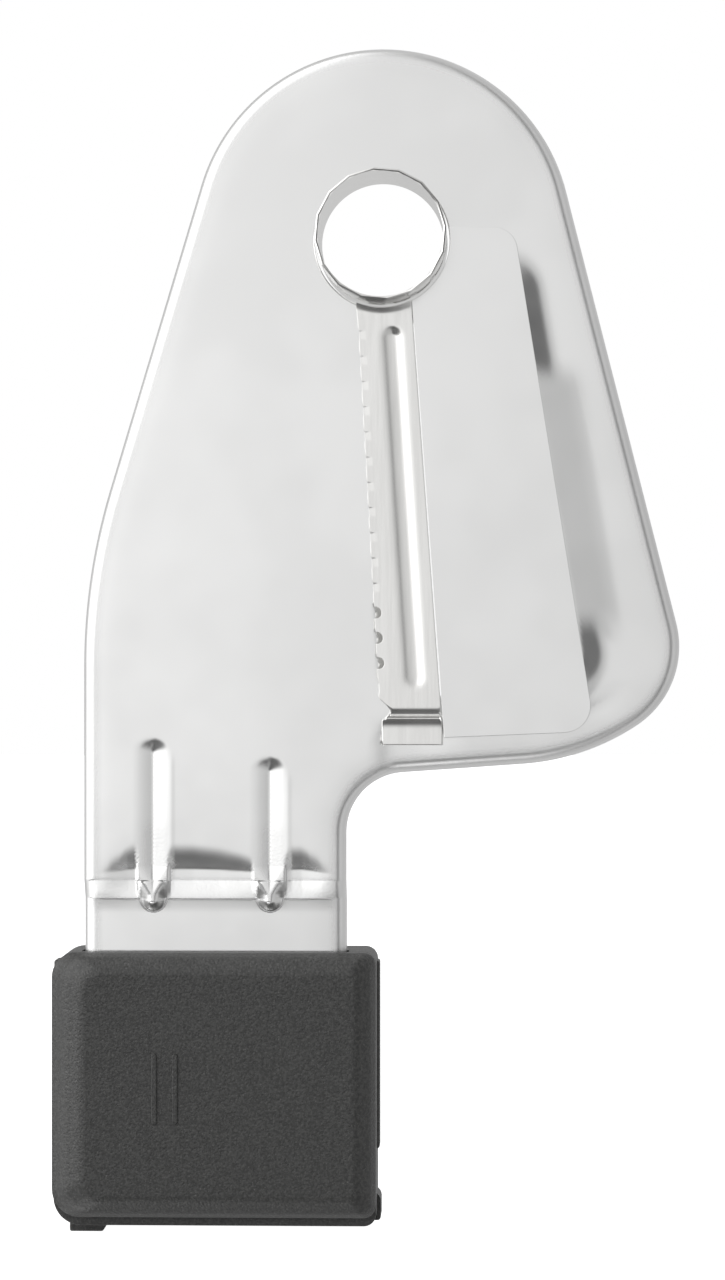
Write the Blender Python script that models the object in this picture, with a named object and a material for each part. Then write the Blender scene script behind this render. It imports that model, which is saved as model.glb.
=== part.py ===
"""Spiral-slicer blade cassette: a pressed steel blade plate in a two-part plastic base.

Food turns against the -Y side of the plate. The ring cuts out the core, the serrated blade lifts a slice,
and the slice leaves through the window behind the blade. Sizes are in millimetres and become metres
when a mesh is made. X runs across, Y from the food side to the slice side, Z up from the seat.
"""

import math

import bmesh
import bpy
from mathutils import Vector
from mathutils.geometry import delaunay_2d_cdt

MM = 0.001
GAP = 0.3  # clearance kept between pieces that touch

# Base block: two covers clamped round the plate's tang
BASE_HALF_WIDTH = 20.8
BASE_TOP = 35.3
BASE_FRONT = -7.5
BASE_REAR = 7.5
PARTING = -3.15
FRONT_COVER_BOTTOM = 1.3
COVER_WALL = 2.0
HOLLOW_CORNER = 1.5
COVER_CORNERS = (3.6, 1.6, 1.6, 3.2)  # bottom left, bottom right, top right, top left
FRONT_CHAMFER = {"left": 4.0, "right": 2.6, "top": 2.3, "bottom": 2.6, "depth": 1.6}
REAR_CHAMFER = 0.8
BOSS_RADIUS = 3.2
SCREW_PLACES = [(-11.0, 10.5), (11.0, 10.5), (-11.0, 27.0), (11.0, 27.0)]
SCREW_SHANK_RADIUS = 1.2
SCREW_HEAD_RADIUS = 2.4
SCREW_HEAD_HEIGHT = 1.6
COUNTERBORE_DEPTH = 2.4
RECESS_ARM = (1.3, 0.3)
RECESS_DEPTH = 1.0
RAIL_PROUD = 0.35
RAIL_SPAN = (9.5, 33.8)
LATCH_NOSE = (-18.9, -13.6, -1.1, 0.6)
EAR_PROUD = 0.5
STOP_EAR = (0.3, 4.0)
MARK_SIZE = (0.75, 9.0, 0.25)
MARK_CENTRES = ((-7.4, 18.1), (-4.75, 18.1))

# Blade plate: one pressed sheet, head forward of the neck
SHEET = 0.7
HEAD_FRONT = -4.5
NECK_SETBACK = 1.5
HEAD_CENTRE = (21.6, 126.9)
HEAD_RADIUS = 24.3
LEFT_FLANK_TILT = 16.7
RIGHT_FLANK_TILT = 14.3
NECK_LEFT = -16.8
NECK_RIGHT = 17.0
TANG_BOTTOM = 6.0
TANG_CORNER = 5.6
LEFT_HIP_RADIUS = 78.3
LOBE_RADIUS = 12.1
LOBE_HEIGHT = 74.5
BELLY_RADIUS = 30.2
BELLY_START = -56.4
UNDERSIDE_TILT = 4.07
ARMPIT_RADIUS = 7.7
RIM_BEND = 1.6
RIM_ANGLE = 75.0
RIM_TAIL = 0.6

# Joggle between head and neck, with two pressed gussets across it
JOGGLE_EASE_TOP = 49.5
JOGGLE_FOLD = 44.5
JOGGLE_FOOT = 41.6
JOGGLE_EASE_DEPTH = 0.35
GUSSETS = ((-7.75, 62.8), (7.2, 60.4))
GUSSET_BOTTOM = 40.6
GUSSET_HALF_WIDTH = 2.0
GUSSET_DEPTH = 0.35
GUSSET_RUN_IN = 2.3

# Corer ring
RING_CENTRE = (21.6, 126.45)
RING_INNER = 7.9
RING_WALL = 0.45
RING_FRONT = -13.4
RING_REAR = 1.0
RING_TEETH = 16
RING_TOOTH_DEPTH = 0.7
RING_GRIND = 1.3

# Slicing blade: serrated strip raised over the slice window
BLADE_SHEET = 0.5
BLADE_LIFT = 2.0
BLADE_EDGE = ((18.6, 115.6), (21.3, 66.8))
BLADE_BACK = ((25.35, 118.2), (29.2, 66.1))
BLADE_STEP = (66.4, 64.9)
BLADE_FOOT_BOTTOM = 61.9
NOTCH_FIRST = 114.2
NOTCH_PITCH = 3.217
NOTCH_COUNT = 15
NOTCH_DEPTH = 1.0
NOTCH_HALF_LENGTH = 0.75
RIB_ENDS = ((23.1, 114.3), (25.8, 70.0))
RIB_HALF_WIDTH = 1.4
RIB_DEPTH = 0.26
CURL_REACH = 1.6
CURL_HEIGHT = 0.3

# Landing plate: flat sheet level with the blade, carried by a plateau of the blade plate
LANDING_SHEET = 0.5
LANDING_TOP = 128.0
LANDING_RIGHT = ((38.7, 126.5), (48.0, 68.6))
LANDING_BOTTOM = ((29.8, 62.9), (43.8, 63.7))
LANDING_TOP_CORNER = 2.6
LANDING_BOTTOM_CORNER = 4.2
PLATEAU_TOP = 122.5
PLATEAU_BOTTOM = 70.5
PLATEAU_WALL = 5.6
WINDOW_WIDTH = 12.0
WINDOW_TOP = 115.8
WINDOW_BOTTOM = 68.2
WINDOW_LEDGE = (80.0, 3.4)


# Plane geometry

def polar(centre, radius, degrees):
    a = math.radians(degrees)
    return (centre[0] + radius * math.cos(a), centre[1] + radius * math.sin(a))


def arc(centre, radius, start, end, steps):
    return [polar(centre, radius, start + (end - start) * i / steps) for i in range(steps + 1)]


def line_x(ends, z):
    """X of the straight line through two (x, z) points, at height z."""
    (xa, za), (xb, zb) = ends
    return xa + (xb - xa) * (z - za) / (zb - za)


def split(a, b, steps):
    return [(a[0] + (b[0] - a[0]) * i / steps, a[1] + (b[1] - a[1]) * i / steps) for i in range(steps + 1)]


def fillet(points, radii, steps=5):
    """Closed outline whose corners are rounded, each by its own radius."""
    out = []
    for i, (p, r) in enumerate(zip(points, radii)):
        a = Vector(points[i - 1]) - Vector(p)
        b = Vector(points[(i + 1) % len(points)]) - Vector(p)
        if r <= 0:
            out.append(tuple(p))
            continue
        half = a.angle(b) / 2
        reach = r / math.tan(half)
        centre = Vector(p) + (a.normalized() + b.normalized()).normalized() * (r / math.sin(half))
        start = Vector(p) + a.normalized() * reach - centre
        end = Vector(p) + b.normalized() * reach - centre
        turn = start.angle_signed(end)
        for k in range(steps + 1):
            c, s = math.cos(-turn * k / steps), math.sin(-turn * k / steps)
            out.append((centre.x + c * start.x - s * start.y, centre.y + s * start.x + c * start.y))
    return out


def inside(point, loop):
    x, z = point
    hit = False
    for (xa, za), (xb, zb) in zip(loop, loop[1:] + loop[:1]):
        if (za > z) != (zb > z) and x < xa + (xb - xa) * (z - za) / (zb - za):
            hit = not hit
    return hit


def edge_distance(point, loop):
    """Distance from a point to the nearest side of a closed loop."""
    p = Vector(point)
    best = math.inf
    for a, b in zip(loop, loop[1:] + loop[:1]):
        a, b = Vector(a), Vector(b)
        side = b - a
        t = max(0.0, min(1.0, (p - a).dot(side) / max(side.length_squared, 1e-12)))
        best = min(best, (p - a - side * t).length)
    return best


# Objects and materials

def clear_scene():
    for ob in list(bpy.data.objects):
        bpy.data.objects.remove(ob, do_unlink=True)


def material(name, colour, roughness, metallic):
    mat = bpy.data.materials.new(name)
    mat.use_nodes = True
    shader = mat.node_tree.nodes["Principled BSDF"]
    shader.inputs["Base Color"].default_value = (*colour, 1.0)
    shader.inputs["Roughness"].default_value = roughness
    shader.inputs["Metallic"].default_value = metallic
    return mat


def make_object(name, bm, mat=None):
    bmesh.ops.remove_doubles(bm, verts=bm.verts, dist=0.002)
    bmesh.ops.recalc_face_normals(bm, faces=bm.faces)
    bmesh.ops.scale(bm, vec=(MM, MM, MM), verts=bm.verts)
    mesh = bpy.data.meshes.new(name)
    bm.to_mesh(mesh)
    bm.free()
    mesh.shade_smooth()
    mesh.set_sharp_from_angle(angle=math.radians(35))
    ob = bpy.data.objects.new(name, mesh)
    bpy.context.collection.objects.link(ob)
    if mat is None:
        ob.hide_render = True
        ob.display_type = "WIRE"
    else:
        mesh.materials.append(mat)
    return ob


def cut(ob, cutter, operation="DIFFERENCE"):
    mod = ob.modifiers.new(cutter.name, "BOOLEAN")
    mod.operation = operation
    mod.solver = "EXACT"
    mod.object = cutter


def skin_loops(bm, loops, closed=False):
    """Quads between loops of equal length; both ends are capped unless the stack closes on itself."""
    rings = [[bm.verts.new(p) for p in loop] for loop in loops]
    pairs = list(zip(rings, rings[1:]))
    if closed:
        pairs.append((rings[-1], rings[0]))
    for a, b in pairs:
        for i in range(len(a)):
            j = (i + 1) % len(a)
            bm.faces.new((a[i], a[j], b[j], b[i]))
    if not closed:
        bm.faces.new(rings[0])
        bm.faces.new(rings[-1][::-1])


def prism(name, loop, y0, y1, mat=None):
    bm = bmesh.new()
    skin_loops(bm, [[(x, y, z) for x, z in loop] for y in (y0, y1)])
    return make_object(name, bm, mat)


def rods(name, places, radius, y0, y1, steps=20):
    """Round rods along Y, as one cutter."""
    bm = bmesh.new()
    for place in places:
        loop = arc(place, radius, 0, 360, steps)[:-1]
        skin_loops(bm, [[(x, y, z) for x, z in loop] for y in (y0, y1)])
    return make_object(name, bm)


def add_thickness(bm, thickness):
    """Closes an open sheet facing -Y with a second skin behind it and walls along its edges."""
    bm.faces.ensure_lookup_table()
    if bm.faces[0].normal.y > 0:
        bmesh.ops.reverse_faces(bm, faces=bm.faces)
    bm.normal_update()
    border = [e for e in bm.edges if len(e.link_faces) == 1]
    sides = [(e.verts[0], e.verts[1], e.link_loops[0].vert is e.verts[0]) for e in border]
    rear = {}
    for v in list(bm.verts):
        lean = min(v.normal.dot(f.normal) for f in v.link_faces)
        rear[v] = bm.verts.new(v.co - v.normal * thickness / max(lean, 0.75))
    for face in list(bm.faces):
        bm.faces.new([rear[v] for v in reversed(face.verts)])
    for a, b, forward in sides:
        if not forward:
            a, b = b, a
        bm.faces.new((b, a, rear[a], rear[b]))


def formed_sheet(name, outline, holes, creases, height, thickness, mat):
    """Sheet whose front face is y = height(x, z), meshed along its creases, with its thickness behind."""
    points, edges = [], []
    for loop in [outline] + holes:
        start = len(points)
        points += loop
        edges += [(start + i, start + (i + 1) % len(loop)) for i in range(len(loop))]
    for run in creases:
        start = len(points)
        points += run
        edges += [(start + i, start + i + 1) for i in range(len(run) - 1)]
    flat = delaunay_2d_cdt([Vector(p) for p in points], edges, [], 0, 1e-4)
    verts, faces = flat[0], flat[2]
    bm = bmesh.new()
    made = [bm.verts.new((v.x, height(v.x, v.y), v.y)) for v in verts]
    for face in faces:
        mid = sum((verts[i] for i in face), Vector((0, 0))) / len(face)
        if inside(mid, outline) and not any(inside(mid, hole) for hole in holes):
            bm.faces.new([made[i] for i in face])
    loose = [v for v in bm.verts if not v.link_faces]
    bmesh.ops.delete(bm, geom=loose, context="VERTS")
    bmesh.ops.recalc_face_normals(bm, faces=bm.faces)
    add_thickness(bm, thickness)
    return make_object(name, bm, mat)


# Blade plate

def plate_outline(inset=0.0):
    """Closed outline of the pressed plate, moved inwards by inset."""
    left = 180 - LEFT_FLANK_TILT
    right = RIGHT_FLANK_TILT
    down = UNDERSIDE_TILT - 90
    c, r = HEAD_CENTRE, HEAD_RADIUS
    left_cos, left_sin = polar((0, 0), 1, left)
    right_cos, right_sin = polar((0, 0), 1, right)
    left_reach = c[0] * left_cos + c[1] * left_sin + r
    right_reach = c[0] * right_cos + c[1] * right_sin + r
    hip_x = NECK_LEFT + LEFT_HIP_RADIUS
    hip_z = (left_reach - LEFT_HIP_RADIUS - hip_x * left_cos) / left_sin
    lobe_x = (right_reach - LOBE_RADIUS - LOBE_HEIGHT * right_sin) / right_cos
    lobe = (lobe_x, LOBE_HEIGHT)
    belly = polar(lobe, LOBE_RADIUS - BELLY_RADIUS, BELLY_START)
    under = polar(belly, BELLY_RADIUS, down)
    pit_x = NECK_RIGHT + ARMPIT_RADIUS
    n = polar((0, 0), 1, down)
    pit_z = (n[0] * under[0] + n[1] * under[1] + ARMPIT_RADIUS - n[0] * pit_x) / n[1]
    tang_left = (NECK_LEFT + TANG_CORNER, TANG_BOTTOM + TANG_CORNER)
    tang_right = (NECK_RIGHT - TANG_CORNER, TANG_BOTTOM + TANG_CORNER)
    points = []
    points += arc((hip_x, hip_z), LEFT_HIP_RADIUS - inset, 180, left, 8)
    points += arc(c, r - inset, left, right, 36)
    points += arc(lobe, LOBE_RADIUS - inset, right, BELLY_START, 14)
    points += arc(belly, BELLY_RADIUS - inset, BELLY_START, down, 6)[1:]
    points += arc((pit_x, pit_z), ARMPIT_RADIUS + inset, down + 180, 180, 10)
    points += arc(tang_right, TANG_CORNER - inset, 0, -90, 4)
    points += arc(tang_left, TANG_CORNER - inset, -90, -180, 4)
    return points


def rim_profile():
    """(inset, drop) pairs from the flat sheet out to the rim's edge."""
    end = math.radians(RIM_ANGLE)
    width = RIM_BEND * math.sin(end) + RIM_TAIL * math.cos(end)
    rows = []
    for part in (0.0, 0.4, 0.75, 1.0):
        a = end * part
        rows.append((width - RIM_BEND * math.sin(a), RIM_BEND * (1 - math.cos(a))))
    rows.append((0.0, rows[-1][1] + RIM_TAIL * math.sin(end)))
    return rows


def rim_drop(inset):
    """Depth of the rolled rim at a distance from the plate's edge."""
    rows = rim_profile()
    if inset >= rows[0][0]:
        return 0.0
    for (wide, high), (thin, low) in zip(rows, rows[1:]):
        if inset >= thin:
            return low + (high - low) * (inset - thin) / (wide - thin)
    return rows[-1][1]


def joggle_drop(z):
    """Step back from the head to the neck: a soft lead, then a fold and a straight riser."""
    if z >= JOGGLE_EASE_TOP:
        return 0.0
    if z >= JOGGLE_FOLD:
        t = (JOGGLE_EASE_TOP - z) / (JOGGLE_EASE_TOP - JOGGLE_FOLD)
        return JOGGLE_EASE_DEPTH * t * t
    t = min(1.0, (JOGGLE_FOLD - z) / (JOGGLE_FOLD - JOGGLE_FOOT))
    return JOGGLE_EASE_DEPTH + (NECK_SETBACK - JOGGLE_EASE_DEPTH) * t


def gusset_drop(x, z):
    """Depth of the V-shaped gussets, which run out in the neck's own level."""
    best = 0.0
    for centre, top in GUSSETS:
        across = 1 - abs(x - centre) / GUSSET_HALF_WIDTH
        if across <= 0 or not GUSSET_BOTTOM <= z <= top:
            continue
        lead = min(1.0, (top - z) / GUSSET_RUN_IN)
        slope = (top - z) / (top - GUSSET_BOTTOM)
        best = max(best, across * lead * (GUSSET_DEPTH + (NECK_SETBACK - GUSSET_DEPTH) * slope))
    return best


def plateau_loop(grow=0.0):
    """Outline of the raised plateau that carries the landing plate."""
    right = LANDING_RIGHT
    corners = [
        (line_x(BLADE_EDGE, PLATEAU_TOP) + WINDOW_WIDTH - 1.5 - grow, PLATEAU_TOP + grow),
        (line_x(right, PLATEAU_TOP) - 0.6 + grow, PLATEAU_TOP + grow),
        (line_x(right, PLATEAU_BOTTOM) - 0.6 + grow, PLATEAU_BOTTOM - grow),
        (line_x(BLADE_EDGE, PLATEAU_BOTTOM) + WINDOW_WIDTH - 1.5 - grow, PLATEAU_BOTTOM - grow),
    ]
    return fillet(corners, [3.0 + grow * 0.5] * 4, 4)


def window_loop():
    """Slice window: its left side follows the blade's edge, with a ledge at the bottom."""
    ledge_z, ledge_x = WINDOW_LEDGE
    corners = [
        (line_x(BLADE_EDGE, WINDOW_TOP) + 1.2, WINDOW_TOP),
        (line_x(BLADE_EDGE, WINDOW_TOP) + WINDOW_WIDTH, WINDOW_TOP),
        (line_x(BLADE_EDGE, WINDOW_BOTTOM) + WINDOW_WIDTH, WINDOW_BOTTOM),
        (line_x(BLADE_EDGE, WINDOW_BOTTOM) + ledge_x, WINDOW_BOTTOM),
        (line_x(BLADE_EDGE, ledge_z) + ledge_x, ledge_z),
        (line_x(BLADE_EDGE, ledge_z) + 1.2, ledge_z),
    ]
    return fillet(corners, [1.2, 2.0, 2.0, 1.2, 1.2, 1.2], 3)


def build_blade_plate(mat):
    outline = plate_outline()
    top, foot = plateau_loop(), plateau_loop(PLATEAU_WALL)
    landing_rise = BLADE_LIFT - LANDING_SHEET - GAP

    def height(x, z):
        y = HEAD_FRONT + rim_drop(edge_distance((x, z), outline)) + max(joggle_drop(z), gusset_drop(x, z))
        if inside((x, z), top):
            return y - landing_rise
        if inside((x, z), foot):
            return y - landing_rise * max(0.0, 1 - edge_distance((x, z), top) / PLATEAU_WALL)
        return y

    holes = [arc(RING_CENTRE, RING_INNER + RING_WALL + GAP, 0, 360, 48)[:-1], window_loop()]
    holes += [arc(place, SCREW_SHANK_RADIUS + 0.4, 0, 360, 16)[:-1] for place in SCREW_PLACES]
    creases = [plate_outline(inset) for inset, drop in rim_profile()[:-1]]
    creases = [run + run[:1] for run in creases + [top, foot]]
    for z in (JOGGLE_EASE_TOP, (JOGGLE_EASE_TOP + JOGGLE_FOLD) / 2, JOGGLE_FOLD, JOGGLE_FOOT):
        creases.append([(NECK_LEFT + 0.01, z), (NECK_RIGHT - 0.01, z)])
    for centre, end in GUSSETS:
        for side in (-GUSSET_HALF_WIDTH, 0.0, GUSSET_HALF_WIDTH):
            creases.append(split((centre + side, end - GUSSET_RUN_IN), (centre + side, JOGGLE_FOOT), 5))
        fan = [(centre - GUSSET_HALF_WIDTH, end - GUSSET_RUN_IN), (centre - 1.2, end - 0.7), (centre, end),
               (centre + 1.2, end - 0.7), (centre + GUSSET_HALF_WIDTH, end - GUSSET_RUN_IN)]
        creases += [fan, [(centre, end), (centre, end - GUSSET_RUN_IN)]]
    return formed_sheet("blade_plate", outline, holes, creases, height, SHEET, mat)


# Cutting parts

def build_corer_ring(mat):
    """Thin tube whose front edge is ground from outside and scalloped."""
    outer = RING_INNER + RING_WALL
    per_tooth = 6
    count = RING_TEETH * per_tooth
    loops = [[], [], [], [], []]
    for i in range(count):
        a = 360 * i / count
        scallop = RING_TOOTH_DEPTH * abs(math.sin(math.pi * i / per_tooth))
        rows = [(RING_INNER, RING_FRONT + scallop), (RING_INNER + 0.12, RING_FRONT + scallop),
                (outer, RING_FRONT + RING_GRIND), (outer, RING_REAR), (RING_INNER, RING_REAR)]
        for loop, (radius, y) in zip(loops, rows):
            x, z = polar(RING_CENTRE, radius, a)
            loop.append((x, y, z))
    bm = bmesh.new()
    skin_loops(bm, loops, closed=True)
    return make_object("corer_ring", bm, mat)


def blade_outline():
    """Strip outline: foot, serrated edge, end cut round the ring, plain back."""
    step_top, step_bottom = BLADE_STEP
    foot_left = line_x(BLADE_EDGE, step_bottom) + 0.2
    foot_right = line_x(BLADE_BACK, step_bottom)
    points = [(foot_right, BLADE_FOOT_BOTTOM), (foot_left, BLADE_FOOT_BOTTOM), (foot_left, step_bottom)]
    points += [(line_x(BLADE_EDGE, step_top) + 1.1, step_top), (line_x(BLADE_EDGE, 67.6), 67.6)]
    for i in reversed(range(NOTCH_COUNT)):
        z = NOTCH_FIRST - i * NOTCH_PITCH
        for k in range(7):
            a = math.pi * k / 6
            dz = -NOTCH_HALF_LENGTH * math.cos(a)
            points.append((line_x(BLADE_EDGE, z + dz) + NOTCH_DEPTH * math.sin(a), z + dz))
    ring_clear = RING_INNER + RING_WALL + GAP
    for dx in (-3.2, -2.1, -1.0, 0.2, 1.4, 2.6, 3.75):
        points.append((RING_CENTRE[0] + dx, RING_CENTRE[1] - math.sqrt(ring_clear ** 2 - dx ** 2)))
    points.append((line_x(BLADE_BACK, step_top), step_top))
    points.append((foot_right, step_bottom))
    return points


def build_slicing_blade(mat):
    step_top, step_bottom = BLADE_STEP
    raised = HEAD_FRONT - BLADE_LIFT
    foot = HEAD_FRONT - GAP - BLADE_SHEET
    ring_clear = RING_INNER + RING_WALL + GAP
    run = Vector(RIB_ENDS[1]) - Vector(RIB_ENDS[0])

    def height(x, z):
        p = Vector((x, z))
        t = max(0.0, min(1.0, (p - Vector(RIB_ENDS[0])).dot(run) / run.length_squared))
        off = (p - Vector(RIB_ENDS[0]) - run * t).length
        rib = RIB_DEPTH if off < RIB_HALF_WIDTH * 0.45 else 0.0
        reach = (p - Vector(RING_CENTRE)).length - ring_clear
        curl = CURL_HEIGHT * max(0.0, 1 - reach / CURL_REACH) ** 2
        fall = max(0.0, min(1.0, (step_top - z) / (step_top - step_bottom)))
        return raised + (foot - raised) * fall + rib - curl

    direction = math.degrees(math.atan2(run.y, run.x))
    creases = []
    for width in (RIB_HALF_WIDTH, RIB_HALF_WIDTH * 0.4):
        loop = arc(RIB_ENDS[0], width, direction + 90, direction + 270, 6)
        loop += arc(RIB_ENDS[1], width, direction - 90, direction + 90, 6)
        creases.append(loop + loop[:1])
    for z in BLADE_STEP:
        creases.append([(line_x(BLADE_EDGE, z) - 1, z), (line_x(BLADE_BACK, z) + 1, z)])
    for part in (0.5, 1.0):
        creases.append(arc(RING_CENTRE, ring_clear + CURL_REACH * part, -120, -60, 10))
    return formed_sheet("slicing_blade", blade_outline(), [], creases, height, BLADE_SHEET, mat)


def build_landing_plate(mat):
    ring_clear = RING_INNER + RING_WALL + GAP
    back_top = line_x(BLADE_BACK, 118.4) + GAP
    start = math.degrees(math.atan2(118.4 - RING_CENTRE[1], back_top - RING_CENTRE[0]))
    top_right = (line_x(LANDING_RIGHT, LANDING_TOP), LANDING_TOP)
    bottom_right = (line_x(LANDING_RIGHT, LANDING_BOTTOM[1][1]), LANDING_BOTTOM[1][1])
    bottom_left = (line_x(BLADE_BACK, LANDING_BOTTOM[0][1]) + GAP, LANDING_BOTTOM[0][1])
    ring_side = arc(RING_CENTRE, ring_clear + 0.05, start, 9, 10)
    corners = ring_side + [top_right, bottom_right, bottom_left]
    radii = [0] * len(ring_side) + [LANDING_TOP_CORNER, LANDING_BOTTOM_CORNER, 0]
    front = HEAD_FRONT - BLADE_LIFT
    return prism("landing_plate", fillet(corners, radii, 6), front, front + LANDING_SHEET, mat)


# Base

def cover_loop(y, z_low, left=0.0, right=0.0, top=0.0, bottom=0.0):
    """Rounded rectangle of the base at depth y, each side moved in by its own amount."""
    w = BASE_HALF_WIDTH
    corners = [(-w + left, z_low + bottom), (w - right, z_low + bottom),
               (w - right, BASE_TOP - top), (-w + left, BASE_TOP - top)]
    return [(x, y, z) for x, z in fillet(corners, COVER_CORNERS, 5)]


def cover_hollow(name, z_low, y0, y1, boss0, boss1):
    """Cutter for the inside of a cover, less its four screw bosses."""
    w = BASE_HALF_WIDTH - COVER_WALL
    low, high = z_low + COVER_WALL, BASE_TOP - COVER_WALL
    loop = fillet([(-w, low), (w, low), (w, high), (-w, high)], [HOLLOW_CORNER] * 4, 3)
    hollow = prism(name, loop, y0, y1)
    cut(hollow, rods(name + "_bosses", SCREW_PLACES, BOSS_RADIUS, boss0, boss1))
    return hollow


def raised_marks():
    """Two plain bars on the front face."""
    wide, tall, proud = MARK_SIZE
    bm = bmesh.new()
    for x, z in MARK_CENTRES:
        corners = [(x - wide / 2, z - tall / 2), (x + wide / 2, z - tall / 2),
                   (x + wide / 2, z + tall / 2), (x - wide / 2, z + tall / 2)]
        loop = fillet(corners, [wide * 0.45] * 4, 3)
        skin_loops(bm, [[(px, y, pz) for px, pz in loop] for y in (BASE_FRONT - proud, BASE_FRONT + 0.5)])
    return make_object("marks", bm)


def build_front_cover(mat):
    chamfer = dict(FRONT_CHAMFER)
    depth = chamfer.pop("depth")
    rear = PARTING - GAP / 2
    floor = BASE_FRONT + COVER_WALL
    bm = bmesh.new()
    skin_loops(bm, [cover_loop(BASE_FRONT, FRONT_COVER_BOTTOM, **chamfer),
                    cover_loop(BASE_FRONT + depth, FRONT_COVER_BOTTOM),
                    cover_loop(rear, FRONT_COVER_BOTTOM)])
    cover = make_object("front_cover", bm, mat)
    cut(cover, cover_hollow("front_hollow", FRONT_COVER_BOTTOM, floor, rear + 1, floor - 1, rear + 2))
    pilots = rods("front_pilots", SCREW_PLACES, SCREW_SHANK_RADIUS + GAP, floor + 0.2, rear + 2, 16)
    cut(cover, pilots)
    cut(cover, raised_marks(), "UNION")
    return cover


def rear_cover_extras():
    """Side rails, latch nose and stop ear, as (name, outline, y from, y to)."""
    w = BASE_HALF_WIDTH
    x0, x1, nose_low, nose_high = LATCH_NOSE
    ear_low, ear_high = STOP_EAR
    rail_low, rail_high = RAIL_SPAN
    rail = [(-w - RAIL_PROUD, rail_low), (w + RAIL_PROUD, rail_low),
            (w + RAIL_PROUD, rail_high), (-w - RAIL_PROUD, rail_high)]
    nose = [(x0, nose_low), (x1 - 1.0, nose_low), (x1, nose_high), (x0, nose_high)]
    ear = [(w - 2.0, ear_low), (w + EAR_PROUD, ear_low), (w + EAR_PROUD, ear_high), (w - 2.0, ear_high)]
    return [("rails", fillet(rail, [0.3] * 4, 3), 1.0, 5.0),
            ("latch_nose", fillet(nose, [0.3, 0.3, 0, 0], 3), -1.0, 3.0),
            ("stop_ear", fillet(ear, [0, 0.4, 1.4, 0], 3), 0.5, 6.0)]


def build_rear_cover(mat):
    front = PARTING + GAP / 2
    floor = BASE_REAR - COVER_WALL
    inset = dict.fromkeys(("left", "right", "top", "bottom"), REAR_CHAMFER)
    bm = bmesh.new()
    skin_loops(bm, [cover_loop(front, 0.0), cover_loop(BASE_REAR - REAR_CHAMFER, 0.0),
                    cover_loop(BASE_REAR, 0.0, **inset)])
    cover = make_object("rear_cover", bm, mat)
    for name, loop, y0, y1 in rear_cover_extras():
        cut(cover, prism(name, loop, y0, y1), "UNION")
    tang_front = HEAD_FRONT + NECK_SETBACK
    cut(cover, cover_hollow("rear_hollow", 0.0, front - 1, floor, tang_front + SHEET + GAP, floor + 1))
    rim_rear = tang_front + rim_profile()[-1][1] + SHEET
    throat = [(NECK_LEFT - GAP, BASE_TOP - 5), (NECK_RIGHT + GAP, BASE_TOP - 5),
              (NECK_RIGHT + GAP, BASE_TOP + 2), (NECK_LEFT - GAP, BASE_TOP + 2)]
    cut(cover, prism("neck_throat", throat, front - 1, rim_rear + GAP))
    shanks, heads = SCREW_SHANK_RADIUS + GAP, SCREW_HEAD_RADIUS + GAP
    cut(cover, rods("screw_clearance", SCREW_PLACES, shanks, front - 1, BASE_REAR + 1, 16))
    cut(cover, rods("counterbores", SCREW_PLACES, heads, BASE_REAR - COUNTERBORE_DEPTH, BASE_REAR + 1))
    return cover


def cross_recess(index, place, y0, y1):
    """Cutter for the driver's cross in a screw head."""
    long, short = RECESS_ARM
    corners = [(long, short), (short, short), (short, long)]
    loop = []
    for quarter in range(4):
        c, s = ((1, 0), (0, 1), (-1, 0), (0, -1))[quarter]
        loop += [(place[0] + c * x - s * z, place[1] + s * x + c * z) for x, z in corners]
    return prism(f"cross_recess_{index}", loop, y0, y1)


def build_cover_screw(index, place, mat):
    """Self-tapping pan-head screw driven from the rear."""
    seat = BASE_REAR - COUNTERBORE_DEPTH + 0.1
    head = seat + SCREW_HEAD_HEIGHT
    tip = BASE_FRONT + COVER_WALL + 0.8
    rows = [(SCREW_SHANK_RADIUS * 0.4, tip), (SCREW_SHANK_RADIUS, tip + 1.4), (SCREW_SHANK_RADIUS, seat),
            (SCREW_HEAD_RADIUS, seat), (SCREW_HEAD_RADIUS, seat + SCREW_HEAD_HEIGHT * 0.5),
            (SCREW_HEAD_RADIUS * 0.8, head)]
    bm = bmesh.new()
    skin_loops(bm, [[(x, y, z) for x, z in arc(place, r, 0, 360, 20)[:-1]] for r, y in rows])
    screw = make_object(f"cover_screw_{index}", bm, mat)
    cut(screw, cross_recess(index, place, head - RECESS_DEPTH, head + 1))
    return screw


def main():
    clear_scene()
    steel = material("satin_steel", (0.74, 0.74, 0.73), 0.28, 1.0)
    blade = material("blade_steel", (0.70, 0.69, 0.67), 0.24, 1.0)
    plastic = material("graphite_plastic", (0.060, 0.060, 0.058), 0.55, 0.0)
    zinc = material("screw_steel", (0.45, 0.45, 0.44), 0.35, 1.0)
    build_blade_plate(steel)
    build_corer_ring(blade)
    build_slicing_blade(blade)
    build_landing_plate(steel)
    build_front_cover(plastic)
    build_rear_cover(plastic)
    for index, place in enumerate(SCREW_PLACES, 1):
        build_cover_screw(index, place, zinc)


main()
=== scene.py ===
import math
from collections import Counter
import bmesh
import bpy
import numpy as np
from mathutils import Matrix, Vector
from mathutils.geometry import delaunay_2d_cdt


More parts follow.
